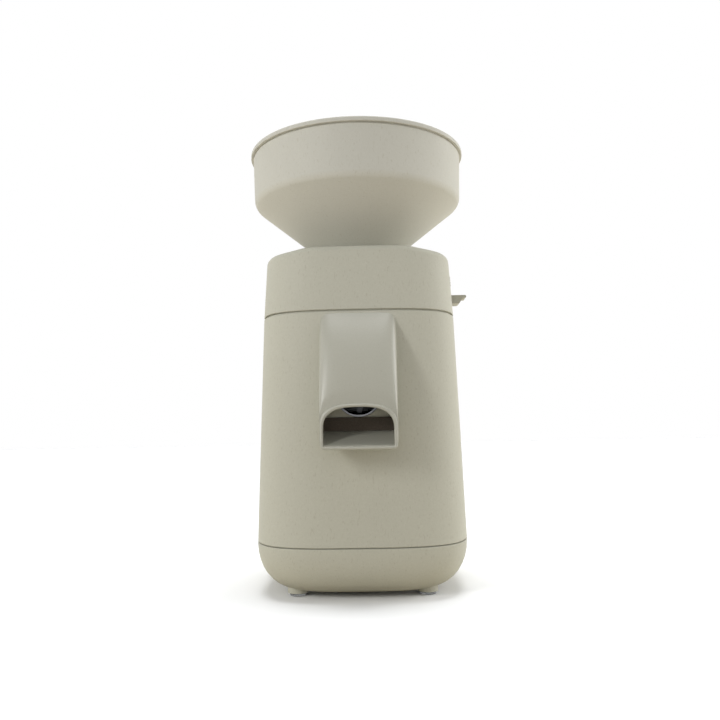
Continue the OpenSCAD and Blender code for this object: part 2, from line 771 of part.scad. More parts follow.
module hopper() color(composite) at_axis() rotate_extrude() polygon(rounded([
  [nozzle_in_r, nozzle_z, 0], [nozzle_r, nozzle_z, 0], [nozzle_r, neck_z - taper_h, 0],
  [neck_r, neck_z, 0], [neck_r, seat_z, 0], [foot_seat_r, seat_z, 0],
  [foot_seat_r, cone_z(foot_seat_r), 0], [crease_r, crease_z, crease_round], [wall_top_r, rim_z, rim_edge],
  [wall_top_r - hopper_wall, rim_z, rim_edge], [inner_crease_r, inner_crease_z, crease_round - hopper_wall],
  [neck_in_r, cone_in_z, 0], [neck_in_r, neck_z, 0], [nozzle_in_r, neck_z - taper_h, 0]
]));

spigot_r = wall_top_r - hopper_wall - rim_slope * lid_spigot_h - 2 * fit;
lid_edge = 1.4;
dish_r = spigot_r - 6;

module hopper_lid() color(composite) at_axis() rotate_extrude() polygon(rounded([
  [0, lid_z, 0], [spigot_r - 3, lid_z, 0], [spigot_r - 3, rim_z - lid_spigot_h, 0.8],
  [spigot_r, rim_z - lid_spigot_h, 0.8], [spigot_r, rim_z, 0], [wall_top_r - rim_edge, rim_z, 0],
  [wall_top_r - rim_edge, lid_z, 0], [rim_r, lid_z, 0.3], [rim_r, mill_top_z, lid_edge],
  [dish_r + 3, mill_top_z, 2], [dish_r, mill_top_z - lid_dish, 2], [0, mill_top_z - lid_dish, 0]
]));

// Milling chamber

seal_r = 15;
module milling_chamber() color(aluminium) at_axis() difference() {
  union() {
    rod(chamber_out_r, floor_z, cover_z - floor_z);
    rod(flange_r, flange_z, flange_t);
    at_posts() rod(post_r + 2, flange_z, flange_t);
    translate([0, 0, outlet_z]) rotate([90, 0, 0])
      cylinder(r = outlet_r + outlet_wall, h = half_at(outlet_z) + outlet_proud);
  }
  rod(chamber_r, floor_top_z, cover_z);
  translate([0, 0, outlet_z]) rotate([90, 0, 0]) cylinder(r = outlet_r, h = base_w);
  rod(seal_r, floor_z - 1, floor_t + 2);
  at_posts() rod(tie_r + fit, flange_z - 1, flange_t + 2);
  around(4, cover_screw_circle) rod(small_screw_r + seat_fit, flange_z - 1, flange_t + 2);
  around(4, motor_screw_circle, 45) rod(motor_screw_r + seat_fit, floor_z - 1, motor_screw_grip + 1.4);
}

module shaft_seal() color("#d9d2bd") at_axis()
  tube(seal_r - seat_fit, shaft_r + fit, floor_z, floor_t);

module chamber_cover() color(aluminium) at_axis() difference() {
  union() {
    rod(flange_r, cover_z, cover_t);
    at_posts() rod(post_r + 2, cover_z, cover_t);
  }
  rod(sleeve_r + 2 * fit, cover_z - 1, cover_t + 2);
  at_posts() rod(tie_r + fit, cover_z - 1, cover_t + 2);
  around(4, cover_screw_circle) rod(small_screw_r + fit, cover_z - 1, cover_t + 2);
  around(4, retainer_screw_circle, 45) rod(small_screw_r + seat_fit, cover_z - 1, cover_t + 2);
  around(guide_pins_n, guide_circle_r) rod(guide_r + seat_fit, cover_z - 1, cover_t);
}

module cover_screws() color(steel) at_axis() around(4, cover_screw_circle)
  screw(small_screw_r, cover_top_z, cover_t + flange_t - 1);

// Millstones

module furrow_cut(z) around(furrows, 0) translate([eye_r + 4, furrow_w * 0.9, z])
  rotate([0, 0, -14]) cube([stone_r, furrow_w, 2 * furrow_d], center = false);

paddle_gap = 1.5;
module stone_hub() color(aluminium) at_axis() difference() {
  union() {
    rod(stone_r - 1, hub_z, hub_t);
    rod(hub_boss_r, hub_z, hub_boss_top_z - hub_z);
    around(paddles, stone_r - paddle_t) translate([0, -paddle_t / 2, hub_z - 1])
      cube([chamber_r - paddle_gap - stone_r + paddle_t, paddle_t, hub_t + 1]);
    around(paddles, stone_r + paddle_gap) translate([0, -paddle_t / 2, hub_z - 1])
      cube([chamber_r - 2 * paddle_gap - stone_r, paddle_t, paddle_h]);
  }
  rod(shaft_r + seat_fit, hub_z - 2, 40);
  translate([0, -key_w / 2, hub_z - 1]) cube([shaft_r + key_w / 2, key_w, 40]);
}

module drive_key() color(steel) at_axis() translate([shaft_r - key_w / 2, -key_w / 2, key_z])
  cube([key_w - 0.2, key_w, key_h]);

module lower_stone() color(stone_grey) at_axis() difference() {
  rod(stone_r, hub_top_z, stone_t);
  rod(hub_boss_r + fit, hub_top_z - 1, stone_t);
  translate([0, 0, clamp_z])
    cylinder(r1 = clamp_r + fit, r2 = clamp_r + 4, h = lower_top_z - clamp_z + eps);
  furrow_cut(lower_top_z - furrow_d);
}

feed_lip_h = 2;
feed_waist = [7, 5];
feed_tip = [4.5, 12];
module feed_cone() color(steel) at_axis() rotate_extrude() polygon(rounded([
  [0, clamp_z - stud_depth, 0], [stud_r, clamp_z - stud_depth, 0], [stud_r, clamp_z, 0],
  [clamp_r, clamp_z, 0], [clamp_r, clamp_z + feed_lip_h, 0], [feed_waist[0], clamp_z + feed_waist[1], 0],
  [feed_tip[0], clamp_z + feed_tip[1], feed_lip_h], [0, clamp_z + feed_tip[1], 0]
]));

module upper_stone() color(stone_grey) at_axis() difference() {
  rod(stone_r, upper_stone_z, stone_t);
  rod(eye_r, upper_stone_z - 1, stone_t + 2);
  translate([0, 0, upper_stone_z - eps]) cylinder(r1 = eye_r + 5, r2 = eye_r, h = 6);
  mirror([0, 1, 0]) furrow_cut(upper_stone_z - furrow_d);
}

carrier_skirt = 8;
module stone_carrier() color(aluminium) at_axis() difference() {
  union() {
    rod(carrier_r, carrier_z - carrier_skirt, carrier_t + carrier_skirt);
    rod(sleeve_r, carrier_top_z - 1, ring_top_z - 2.5 - carrier_top_z + 1);
  }
  rod(stone_r + seat_fit, carrier_z - carrier_skirt - 1, carrier_skirt + 1);
  rod(sleeve_r - sleeve_wall, carrier_z - 1, 80);
  around(guide_pins_n, guide_circle_r) rod(guide_r + run_fit, carrier_z - 1, carrier_t + 2);
}

module guide_pins() color(steel) at_axis() around(guide_pins_n, guide_circle_r)
  rod(guide_r, carrier_z + 1, cover_z + cover_t - 1 - carrier_z - 1);

module carrier_springs() color(zinc) at_axis() around(guide_pins_n, guide_circle_r)
  tube(guide_r + 2.4, guide_r + fit, carrier_top_z, spring_h);

module adjusting_ring() color("#3a3c3d") at_axis() difference() {
  union() {
    rod(ring_r, cover_top_z, ring_t);
    rod(ring_hub_r, cover_top_z, ring_h);
  }
  rod(sleeve_r + fit, cover_top_z - 1, ring_h + 2);
  around(3, lever_screw_circle, 60) rod(small_screw_r + seat_fit, ring_top_z - lever_screw_grip - 1, 40);
}
lever_screw_circle = (ring_hub_r + sleeve_r + fit) / 2;
lever_screw_grip = 9;

module ring_retainer() color(aluminium) at_axis() difference() {
  rod(retainer_r, cover_top_z, ring_t + fit + retainer_t);
  rod(ring_r + fit, cover_top_z - 1, ring_t + fit + 1);
  rod(ring_hub_r + fit, cover_top_z, 30);
  around(4, retainer_screw_circle, 45) rod(small_screw_r + fit, cover_top_z - 1, 30);
}

module retainer_screws() color(steel) at_axis() around(4, retainer_screw_circle, 45)
  screw(small_screw_r, cover_top_z + ring_t + fit + retainer_t, ring_t + fit + retainer_t + cover_t - 1);

handle_root_x = half_at(lever_z);
handle_tip_x = handle_root_x + handle_reach;
handle_lip_t = 2.2;
lip_z = lever_z + handle_h - handle_lip_t;
handle_profile = [
  [shield_r + shield_t / 2, lever_z, 0], [handle_tip_x - 5.6, lever_z, 2],
  [handle_tip_x - 3.2, lip_z, 1], [handle_tip_x, lip_z, 0.8],
  [handle_tip_x, lip_z + handle_lip_t, 1.2], [shield_r + shield_t / 2, lever_z + handle_h, 0]
];
shield_half_angle = max(slot_front + coarse_swing, slot_rear + fine_swing) + 1;

module adjusting_lever() color(composite) at_axis() difference() {
  union() {
    rod(ring_hub_r, lever_z, lever_t);
    translate([sleeve_r + 4, -handle_w / 2, lever_z])
      cube([shield_r - sleeve_r - 3, handle_w, lever_t]);
    rotate([0, 0, -shield_half_angle]) rotate_extrude(angle = 2 * shield_half_angle)
      translate([shield_r, slot_z - 1]) square([shield_t, slot_h + 2]);
    rotate([90, 0, 0]) linear_extrude(height = handle_w, center = true)
      polygon(rounded(handle_profile));
  }
  rod(sleeve_r + 2 * fit, lever_z - 1, lever_t + 2);
  around(3, lever_screw_circle, 60) rod(small_screw_r + fit, lever_z - 1, lever_t + 2);
}

module lever_screws() color(steel) at_axis() around(3, lever_screw_circle, 60)
  screw(small_screw_r, lever_z + lever_t, lever_t + lever_screw_grip);

// Motor

module motor_can() color(zinc) at_axis() tube(can_r, magnet_r, can_z, can_h);

module motor_magnets() color("#4a4a4d") at_axis() for (side = [0, 180])
  rotate([0, 0, side + 90 - magnet_angle / 2]) rotate_extrude(angle = magnet_angle)
    translate([magnet_in_r, armature_z - 4])
      square([magnet_r - seat_fit - magnet_in_r, armature_h + 8]);

module bracket_holes(z, h) around(4, bolt_circle_r, 45) rod(motor_screw_r + fit, z, h);

module lower_bracket() color(aluminium) at_axis() difference() {
  union() {
    rod(bracket_r, can_z - bracket_plate_t, bracket_plate_t);
    rod(bearing_house_r, lower_bracket_z, lower_bracket_h);
  }
  rod(bearing_r + seat_fit, lower_bearing_z, 30);
  rod(shaft_r + 2, lower_bracket_z - 1, 30);
  around(6, 30) rod(7, lower_bracket_z - 1, 30);
  bracket_holes(can_z - bracket_plate_t - 1, 20);
}

motor_screw_circle = 34;
motor_flange_t = 4;
motor_screw_grip = floor_t - 1.6;
module upper_bracket() color(aluminium) at_axis() difference() {
  union() {
    rod(bracket_r, can_top_z, bracket_plate_t);
    rod(bearing_house_r + 4, can_top_z, upper_bracket_h);
    rod(motor_screw_circle + 6, floor_z - motor_flange_t, motor_flange_t);
  }
  rod(bearing_r + seat_fit, can_top_z - 1, upper_bearing_z + bearing_w - can_top_z + 1);
  rod(shaft_r + 2, can_top_z, 30);
  around(4, motor_screw_circle, 45) rod(motor_screw_r + fit, floor_z - motor_flange_t - 1, 20);
  around(4, 30, 0) rod(5, can_top_z - 1, bracket_plate_t + 2);
  bracket_holes(can_top_z - 1, bracket_plate_t + 2);
}

module motor_screws() color(steel) at_axis() around(4, motor_screw_circle, 45)
  translate([0, 0, 2 * (floor_z - motor_flange_t)]) mirror([0, 0, 1])
    screw(motor_screw_r, floor_z - motor_flange_t, motor_flange_t + motor_screw_grip);

bolt_len = bracket_plate_t * 2 + can_h;
module through_bolts() color(steel) at_axis() around(4, bolt_circle_r, 45) {
  translate([0, 0, 2 * (can_z - bracket_plate_t)]) mirror([0, 0, 1])
    screw(motor_screw_r, can_z - bracket_plate_t, bolt_len + 4);
  translate([0, 0, can_top_z + bracket_plate_t])
    cylinder(r = motor_screw_r * 1.8, h = motor_screw_r * 1.5, $fn = 6);
}

module motor_shaft() color(steel) at_axis() difference() {
  rod(shaft_r, shaft_bottom_z, hub_boss_top_z - shaft_bottom_z);
  rod(stud_r + seat_fit, clamp_z - stud_depth - 1, 40);
  translate([shaft_r - key_w / 2, -key_w / 2, key_z]) cube([key_w, key_w, 40]);
}

ring_in_r = shaft_r + 3;
ring_out_r = bearing_r - 3;
module at_bearings() for (z = [lower_bearing_z, upper_bearing_z]) translate([0, 0, z]) children();

// Outer race with its two seals
module bearing_outer_rings() color(zinc) at_axis() at_bearings() difference() {
  tube(bearing_r, ring_in_r + fit, 0, bearing_w);
  rotate_extrude() translate([ring_in_r, 1]) square([ring_out_r - ring_in_r, bearing_w - 2]);
}

module bearing_inner_rings() color(steel) at_axis() at_bearings()
  tube(ring_in_r, shaft_r + seat_fit, 0, bearing_w);

fan_plate_t = 2;
module cooling_fan() color(black_plastic) at_axis() difference() {
  union() {
    rod(fan_r, fan_top_z - fan_plate_t, fan_plate_t);
    rod(shaft_r + 4, fan_z, fan_h);
    around(fan_blades, shaft_r + 5) translate([0, -1, fan_z])
      cube([fan_r - shaft_r - 6, 2, fan_h]);
  }
  rod(shaft_r + seat_fit, fan_z - 1, fan_h + 2);
}

module commutator() color(copper) at_axis() difference() {
  rod(commutator_r, commutator_z, commutator_h);
  rod(shaft_r + seat_fit, commutator_z - 1, commutator_h + 2);
  around(armature_slots, commutator_r - 2) translate([0, -0.4, commutator_z - 1])
    cube([4, 0.8, commutator_h + 2]);
}

slot_root_r = shaft_r + 14;
slot_w = 4.4;
module armature_stack() color(zinc) at_axis() difference() {
  rod(armature_r, armature_z, armature_h);
  rod(shaft_r + seat_fit, armature_z - 1, armature_h + 2);
  around(armature_slots, slot_root_r) translate([0, -slot_w / 2, armature_z - 1])
    cube([armature_r, slot_w, armature_h + 2]);
}

module armature_windings() color(copper) at_axis() {
  around(armature_slots, slot_root_r + fit) translate([0, -slot_w / 2 + fit, armature_z - 1])
    cube([coil_out_r - slot_root_r - 2, slot_w - 2 * fit, armature_h + 2]);
  for (z = [armature_z - coil_reach, armature_z + armature_h]) translate([0, 0, z])
    rotate_extrude() polygon(rounded([
      [coil_in_r, 0, 2], [coil_out_r, 0, 2], [coil_out_r, coil_reach, 2], [coil_in_r, coil_reach, 2]
    ]));
}

holder_w = 10;
holder_h = commutator_h - 2;
holder_wall = 1.2;
holder_in_r = commutator_r + 2;
holder_out_r = magnet_r - 2;
brush_len = 12;
module at_brushes() for (side = [0, 180]) rotate([0, 0, side]) children();

module brush_holders() color(black_plastic) at_axis() at_brushes() difference() {
  translate([holder_in_r, -holder_w / 2, can_z])
    cube([holder_out_r - holder_in_r, holder_w, commutator_z + holder_h - can_z]);
  translate([holder_in_r - 1, -holder_w / 2 + holder_wall, commutator_z + holder_wall])
    cube([holder_out_r - holder_in_r - 0.5, holder_w - 2 * holder_wall, holder_h - 2 * holder_wall]);
}

module carbon_brushes() color("#1d1d1e") at_axis() at_brushes() difference() {
  translate([commutator_r - 2, -holder_w / 2 + holder_wall + 0.1, commutator_z + holder_wall + 0.1])
    cube([brush_len + 2, holder_w - 2 * holder_wall - 0.2, holder_h - 2 * holder_wall - 0.2]);
  rod(commutator_r + fit, commutator_z, commutator_h);
}

brush_end_r = commutator_r + brush_len;
spring_wire_r = (holder_h - 2 * holder_wall) / 2 - 0.4;
module brush_springs() color(steel) at_axis() at_brushes()
  translate([brush_end_r, 0, commutator_z + holder_h / 2]) rotate([0, 90, 0]) difference() {
    cylinder(r = spring_wire_r, h = holder_out_r - 1.5 - brush_end_r);
    translate([0, 0, -1]) cylinder(r = spring_wire_r - 1, h = 40);
  }

// Electrics

module rectifier_board() color("#2f6b45") at_axis() difference() {
  translate([board_x, -board_w / 2, board_z]) cube([board_t, board_w, board_h]);
  at_board_holes() translate([0, 0, -1]) cylinder(r = board_screw_r + fit, h = 10);
}

module board_screws() color(steel) at_axis() at_board_holes() translate([0, 0, board_t])
  screw(board_screw_r, 0, board_t + standoff_h - 2);

block_w = 15;
block_t = 6;
module rectifier_block() color(black_plastic) at_axis()
  translate([board_x + board_t, -board_w / 2 + 12, board_z + 12]) cube([block_t, block_w, block_w]);

capacitor_r = 7;
capacitor_h = 26;
module filter_capacitor() color("#34405a") at_axis()
  translate([board_x + board_t + capacitor_r + 0.1, board_w / 2 - 12, board_z + 12])
    rotate_extrude() polygon(rounded([
      [0, 0, 0], [capacitor_r, 0, 0.8], [capacitor_r, capacitor_h, 0.8], [0, capacitor_h, 0]
    ]));

// Switch, in the rear wall's frame
bezel_round = 3;
module plate(w, h, t, r) rotate([-90, 0, 0]) linear_extrude(height = t)
  polygon(rounded([[-w / 2, -h / 2, r], [w / 2, -h / 2, r], [w / 2, h / 2, r], [-w / 2, h / 2, r]]));

module switch_body() color(black_plastic) at_axis() on_rear_wall(switch_z) difference() {
  union() {
    translate([0, 0.2, 0]) plate(bezel_w, bezel_h, bezel_t, bezel_round);
    translate([-cutout_w / 2 + fit, -switch_depth, -cutout_h / 2 + fit])
      cube([cutout_w - 2 * fit, switch_depth + 1, cutout_h - 2 * fit]);
  }
  translate([-rocker_w / 2 - fit, -9, -rocker_h / 2 - rocker_clear])
    cube([rocker_w + 2 * fit, 20, rocker_h + 2 * rocker_clear]);
  translate([0, rocker_pivot_y, 0]) rotate([0, 90, 0])
    cylinder(r = trunnion_r + run_fit, h = rocker_w + 3.4, center = true);
}

// A two-faced rocker about its trunnions, as [out, up] points
rocker_profile = [
  [-2.5, -rocker_h / 2 + 2.5, 1], [rocker_peak - 0.6, -rocker_h / 2 + 0.5, 0.8],
  [rocker_peak - 2.2, 0, 14], [rocker_peak - 0.6, rocker_h / 2 - 0.5, 0.8],
  [-2.5, rocker_h / 2 - 2.5, 1], [-4.5, 0, 2]
];
module switch_rocker() color("#1b1b1c") at_axis() on_rear_wall(switch_z)
  translate([0, rocker_pivot_y, 0]) rotate([-rocker_tilt, 0, 0]) {
    rotate([90, 0, 90]) linear_extrude(height = rocker_w, center = true)
      polygon(rounded(rocker_profile));
    rotate([0, 90, 0]) cylinder(r = trunnion_r, h = rocker_w + 3, center = true);
  }

// Cord gland through the rear wall, with its nut inside
gland_flange_t = 3;
gland_nose_h = gland_flange_t + 4;
gland_throat_h = 1;
gland_passage_r = gland_bore_r + 0.8;
gland_thread = wall + 8;
gland_nut_h = 4;
module gland_turn() translate([0, gland_face_y, gland_z]) rotate([-90, 0, 0]) children();

module cord_gland() color(black_plastic) at_axis() gland_turn() rotate_extrude() polygon(rounded([
  [gland_passage_r, -gland_thread, 0], [gland_neck_r, -gland_thread, 0.5],
  [gland_neck_r, 0, 0], [gland_r, 0, 0], [gland_r, gland_flange_t, 1],
  [gland_neck_r, gland_nose_h, 1], [gland_bore_r, gland_nose_h, 0],
  [gland_bore_r, gland_throat_h, 0], [gland_passage_r, gland_throat_h, 0]
]));

module gland_nut() color(black_plastic) at_axis() gland_turn()
  translate([0, 0, -wall - 2 - gland_nut_h]) difference() {
    cylinder(r = gland_r, h = gland_nut_h, $fn = 6);
    translate([0, 0, -1]) cylinder(r = gland_neck_r + seat_fit, h = gland_nut_h + 2);
  }

base_pan();
foot_pads();
body_shell();
head_shell();
tie_screws();
spout();
spout_screws();
hopper();
hopper_lid();
milling_chamber();
shaft_seal();
chamber_cover();
cover_screws();
stone_hub();
drive_key();
lower_stone();
feed_cone();
upper_stone();
stone_carrier();
guide_pins();
carrier_springs();
adjusting_ring();
ring_retainer();
retainer_screws();
adjusting_lever();
lever_screws();
motor_can();
motor_magnets();
lower_bracket();
upper_bracket();
motor_screws();
through_bolts();
motor_shaft();
bearing_outer_rings();
bearing_inner_rings();
cooling_fan();
commutator();
armature_stack();
armature_windings();
brush_holders();
carbon_brushes();
brush_springs();
rectifier_board();
board_screws();
rectifier_block();
filter_capacitor();
switch_body();
switch_rocker();
cord_gland();
gland_nut();
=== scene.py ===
import math

import bmesh
import bpy
from mathutils import Matrix, Vector
from mathutils.bvhtree import BVHTree


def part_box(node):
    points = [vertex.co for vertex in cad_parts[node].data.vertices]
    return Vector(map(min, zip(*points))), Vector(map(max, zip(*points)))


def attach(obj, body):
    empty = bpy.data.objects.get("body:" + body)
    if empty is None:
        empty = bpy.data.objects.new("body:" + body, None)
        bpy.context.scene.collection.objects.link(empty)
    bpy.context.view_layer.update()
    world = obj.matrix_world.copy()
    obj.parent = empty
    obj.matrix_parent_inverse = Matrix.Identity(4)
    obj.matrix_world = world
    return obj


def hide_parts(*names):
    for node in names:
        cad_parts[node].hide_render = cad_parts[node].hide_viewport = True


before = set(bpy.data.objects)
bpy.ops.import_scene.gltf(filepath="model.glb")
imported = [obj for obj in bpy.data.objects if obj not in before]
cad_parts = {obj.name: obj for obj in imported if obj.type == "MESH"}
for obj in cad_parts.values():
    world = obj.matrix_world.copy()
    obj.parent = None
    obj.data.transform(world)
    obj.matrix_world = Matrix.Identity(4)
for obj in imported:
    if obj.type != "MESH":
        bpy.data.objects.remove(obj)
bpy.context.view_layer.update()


# Base pan
# The bottom of the housing: a deep round-edged pan with foot stubs and a vent panel, moulded in
# wood-fibre composite and drawn up against the body by the four tie screws.
MM = 0.001


def linear(hex_colour):
    """An sRGB hex colour as linear RGBA."""
    channels = [int(hex_colour[i:i + 2], 16) / 255 for i in (1, 3, 5)]
    bent = [c / 12.92 if c <= 0.04045 else ((c + 0.055) / 1.055) ** 2.4 for c in channels]
    return (*bent, 1.0)


def add_node(tree, kind, values=None, **settings):
    """Adds one shader node; values fill its inputs, or link to them where they are sockets."""
    made = tree.nodes.new(kind)
    for name, setting in settings.items():
        setattr(made, name, setting)
    for name, value in (values or {}).items():
        if isinstance(value, bpy.types.NodeSocket):
            tree.links.new(value, made.inputs[name])
        else:
            made.inputs[name].default_value = value
    return made


def start_material(name, surface):
    """A material with one Principled shader; gives it back with its tree, shader and coordinates."""
    material = bpy.data.materials.new(name)
    material.use_nodes = True
    tree = material.node_tree
    tree.nodes.clear()
    shader = add_node(tree, "ShaderNodeBsdfPrincipled", surface)
    add_node(tree, "ShaderNodeOutputMaterial", {"Surface": shader.outputs["BSDF"]})
    place = add_node(tree, "ShaderNodeTexCoord").outputs["Object"]
    return material, tree, shader, place


def repeats(size_mm):
    """Texture scale that gives a feature of this size on an object measured in metres."""
    return 1 / (size_mm * MM)


# Wood-fibre composite, injection moulded: a matte skin, warm grey-cream, in which short pale
# fibres and a few darker ones lie just under the surface. The fleck is drawn coarser to show.
def moulded_composite(name, body, pale, fibre, fleck_mm, fleck_strength, grain_depth_mm, roughness,
                      specular=0.3):
    """The composite with its flecks, fibres and the fine grain that the mould gave it."""
    fibre_mm = 0.6 * fleck_mm
    drawn_along_z = (1.0, 1.0, 0.3)
    flow_mm = 22
    gloss_spread = 0.05
    mould_grain_mm = 0.8
    material, tree, shader, place = start_material(name, {"IOR": 1.47, "Specular IOR Level": specular})
    fleck = add_node(tree, "ShaderNodeTexNoise",
                     {"Vector": place, "Scale": repeats(fleck_mm), "Detail": 3.0, "Roughness": 0.65})
    fleck_mask = add_node(tree, "ShaderNodeMapRange",
                          {"Value": fleck.outputs["Fac"], "From Min": 0.45, "From Max": 0.68,
                           "To Max": fleck_strength})
    # A colour Mix takes its two colours at inputs 6 and 7 and gives their mix at output 2.
    flecked = add_node(tree, "ShaderNodeMix",
                       {"Factor": fleck_mask.outputs["Result"], 6: linear(body), 7: linear(pale)},
                       data_type="RGBA")
    stretched = add_node(tree, "ShaderNodeMapping", {"Vector": place, "Scale": drawn_along_z})
    fibres = add_node(tree, "ShaderNodeTexNoise",
                      {"Vector": stretched.outputs["Vector"], "Scale": repeats(fibre_mm),
                       "Detail": 1.0})
    fibre_mask = add_node(tree, "ShaderNodeMapRange",
                          {"Value": fibres.outputs["Fac"], "From Min": 0.62, "From Max": 0.74,
                           "To Max": fleck_strength})
    fibred = add_node(tree, "ShaderNodeMix",
                      {"Factor": fibre_mask.outputs["Result"], 6: flecked.outputs[2],
                       7: linear(fibre)}, data_type="RGBA")
    tree.links.new(fibred.outputs[2], shader.inputs["Base Color"])
    flow = add_node(tree, "ShaderNodeTexNoise",
                    {"Vector": place, "Scale": repeats(flow_mm), "Detail": 2.0})
    gloss = add_node(tree, "ShaderNodeMapRange",
                     {"Value": flow.outputs["Fac"], "To Min": roughness - gloss_spread,
                      "To Max": roughness + gloss_spread})
    tree.links.new(gloss.outputs["Result"], shader.inputs["Roughness"])
    grain = add_node(tree, "ShaderNodeTexNoise",
                     {"Vector": place, "Scale": repeats(mould_grain_mm), "Detail": 2.0})
    bump = add_node(tree, "ShaderNodeBump",
                    {"Height": grain.outputs["Fac"], "Distance": grain_depth_mm * MM, "Strength": 0.5})
    tree.links.new(bump.outputs["Normal"], shader.inputs["Normal"])
    return material


def moulded_normals(mesh, crease_deg):
    """Corner normals that run smoothly from one CAD face into the next and break at real edges."""
    within_crease = math.cos(math.radians(crease_deg))
    weld = 0.0001 * MM
    places = [tuple(round(c / weld) for c in vertex.co) for vertex in mesh.vertices]
    faces = [(face.normal.copy(), face.normal * face.area, face.vertices[:]) for face in mesh.polygons]
    meeting = {}
    for normal, weighted, corners in faces:
        for corner in corners:
            meeting.setdefault(places[corner], []).append((normal, weighted))
    normals = []
    for normal, weighted, corners in faces:
        for corner in corners:
            blend = Vector()
            for other, other_weighted in meeting[places[corner]]:
                if other.dot(normal) > within_crease:
                    blend += other_weighted
            normals.append(blend.normalized())
    return normals


def dress(material, *names, crease_deg=32):
    """Gives CAD nodes a material and smooth shading that keeps their real edges sharp."""
    for name in names:
        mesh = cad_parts[name].data
        mesh.materials.clear()
        mesh.materials.append(material)
        mesh.shade_smooth()
        mesh.normals_split_custom_set(moulded_normals(mesh, crease_deg))


composite = moulded_composite("moulded_wood_fibre_composite", body="#bcbbad", pale="#c6c5b8",
                              fibre="#a39e8c", fleck_mm=1.5, fleck_strength=0.35,
                              grain_depth_mm=0.04, roughness=0.6)
dress(composite, "base_pan")


# Foot pads
# Four clear soft PVC buttons pressed into the foot stubs. They are nearly glass-clear with a faint
# smoky tint, so they look dark under the pan with small bright glints.
clear_pvc, tree, shader, place = start_material(
    "clear_soft_pvc", {"Base Color": linear("#c3c6c7"), "IOR": 1.53, "Transmission Weight": 0.8})
haze_mm = 3
haze = add_node(tree, "ShaderNodeTexNoise",
                {"Vector": place, "Scale": repeats(haze_mm), "Detail": 2.0})
polish = add_node(tree, "ShaderNodeMapRange",
                  {"Value": haze.outputs["Fac"], "To Min": 0.08, "To Max": 0.22})
tree.links.new(polish.outputs["Result"], shader.inputs["Roughness"])
dress(clear_pvc, "foot_pads")


# Motor can and armature stack
# A drawn steel tube and stamped steel laminations, both zinc plated: bluish grey metal with the
# faint cloudy spangle that plating leaves.
zinc_plate, tree, shader, place = start_material("zinc_plated_steel", {"Metallic": 1.0})
spangle_mm = 6
spangle = add_node(tree, "ShaderNodeTexVoronoi", {"Vector": place, "Scale": repeats(spangle_mm)})
clouded = add_node(tree, "ShaderNodeMix",
                   {"Factor": spangle.outputs["Distance"], 6: linear("#a9b0b6"), 7: linear("#c3c8cb")},
                   data_type="RGBA")
tree.links.new(clouded.outputs[2], shader.inputs["Base Color"])
dulled = add_node(tree, "ShaderNodeMapRange",
                  {"Value": spangle.outputs["Distance"], "To Min": 0.3, "To Max": 0.46})
tree.links.new(dulled.outputs["Result"], shader.inputs["Roughness"])
dress(zinc_plate, "motor_can", "armature_stack")


# Motor magnets
# Two arc magnets of pressed and sintered ferrite, glued inside the can: charcoal, dull and slightly
# grainy like fired clay. The grain is drawn coarser to show.
ferrite, tree, shader, place = start_material("sintered_ferrite", {"Roughness": 0.72, "IOR": 1.6})
grit_mm = 0.9
grit = add_node(tree, "ShaderNodeTexNoise",
                {"Vector": place, "Scale": repeats(grit_mm), "Detail": 3.0})
fired = add_node(tree, "ShaderNodeMix",
                 {"Factor": grit.outputs["Fac"], 6: linear("#29282b"), 7: linear("#47464a")},
                 data_type="RGBA")
tree.links.new(fired.outputs[2], shader.inputs["Base Color"])
dress(ferrite, "motor_magnets")


# Shaft, bearings, key, pins, springs and screws
# Turned, ground or drawn steel. Clean grey metal with fine circular tool marks that spread its
# highlights; the marks are drawn coarser than the real ones so that they show.
machined_steel, tree, shader, place = start_material("machined_steel", {"Metallic": 1.0})
# At scale 1 the bands of a wave texture are a tenth of pi wide.
wave_band = math.pi / 10
turning_mm = 2.26
turning = add_node(tree, "ShaderNodeTexWave",
                   {"Vector": place, "Scale": wave_band * repeats(turning_mm), "Distortion": 0.6,
                    "Detail": 2.0}, bands_direction="Z")
bright = add_node(tree, "ShaderNodeMix",
                  {"Factor": turning.outputs["Fac"], 6: linear("#b3b6ba"), 7: linear("#c9ccd0")},
                  data_type="RGBA")
tree.links.new(bright.outputs[2], shader.inputs["Base Color"])
marks = add_node(tree, "ShaderNodeMapRange",
                 {"Value": turning.outputs["Fac"], "To Min": 0.24, "To Max": 0.36})
tree.links.new(marks.outputs["Result"], shader.inputs["Roughness"])
dress(machined_steel, "motor_shaft", "bearing_outer_rings", "bearing_inner_rings", "motor_screws",
      "through_bolts", "drive_key", "feed_cone", "guide_pins", "carrier_springs", "cover_screws",
      "retainer_screws", "lever_screws", "tie_screws", "spout_screws", "board_screws", "brush_springs")


# Bearing brackets, milling chamber, stone hub, carrier and retainer
# Aluminium pressure die castings, bead blasted after trimming: plain grey metal with a satin,
# slightly pebbled skin. The pebble is drawn coarser to show.
cast_aluminium, tree, shader, place = start_material("die_cast_aluminium", {"Metallic": 1.0})
pebble_mm = 1.1
pebble = add_node(tree, "ShaderNodeTexNoise",
                  {"Vector": place, "Scale": repeats(pebble_mm), "Detail": 3.0})
cast_tone = add_node(tree, "ShaderNodeMix",
                     {"Factor": pebble.outputs["Fac"], 6: linear("#86868a"), 7: linear("#a3a3a5")},
                     data_type="RGBA")
tree.links.new(cast_tone.outputs[2], shader.inputs["Base Color"])
blasted = add_node(tree, "ShaderNodeMapRange",
                   {"Value": pebble.outputs["Fac"], "To Min": 0.5, "To Max": 0.64})
tree.links.new(blasted.outputs["Result"], shader.inputs["Roughness"])
pebbled = add_node(tree, "ShaderNodeBump",
                   {"Height": pebble.outputs["Fac"], "Distance": 0.05 * MM, "Strength": 0.5})
tree.links.new(pebbled.outputs["Normal"], shader.inputs["Normal"])
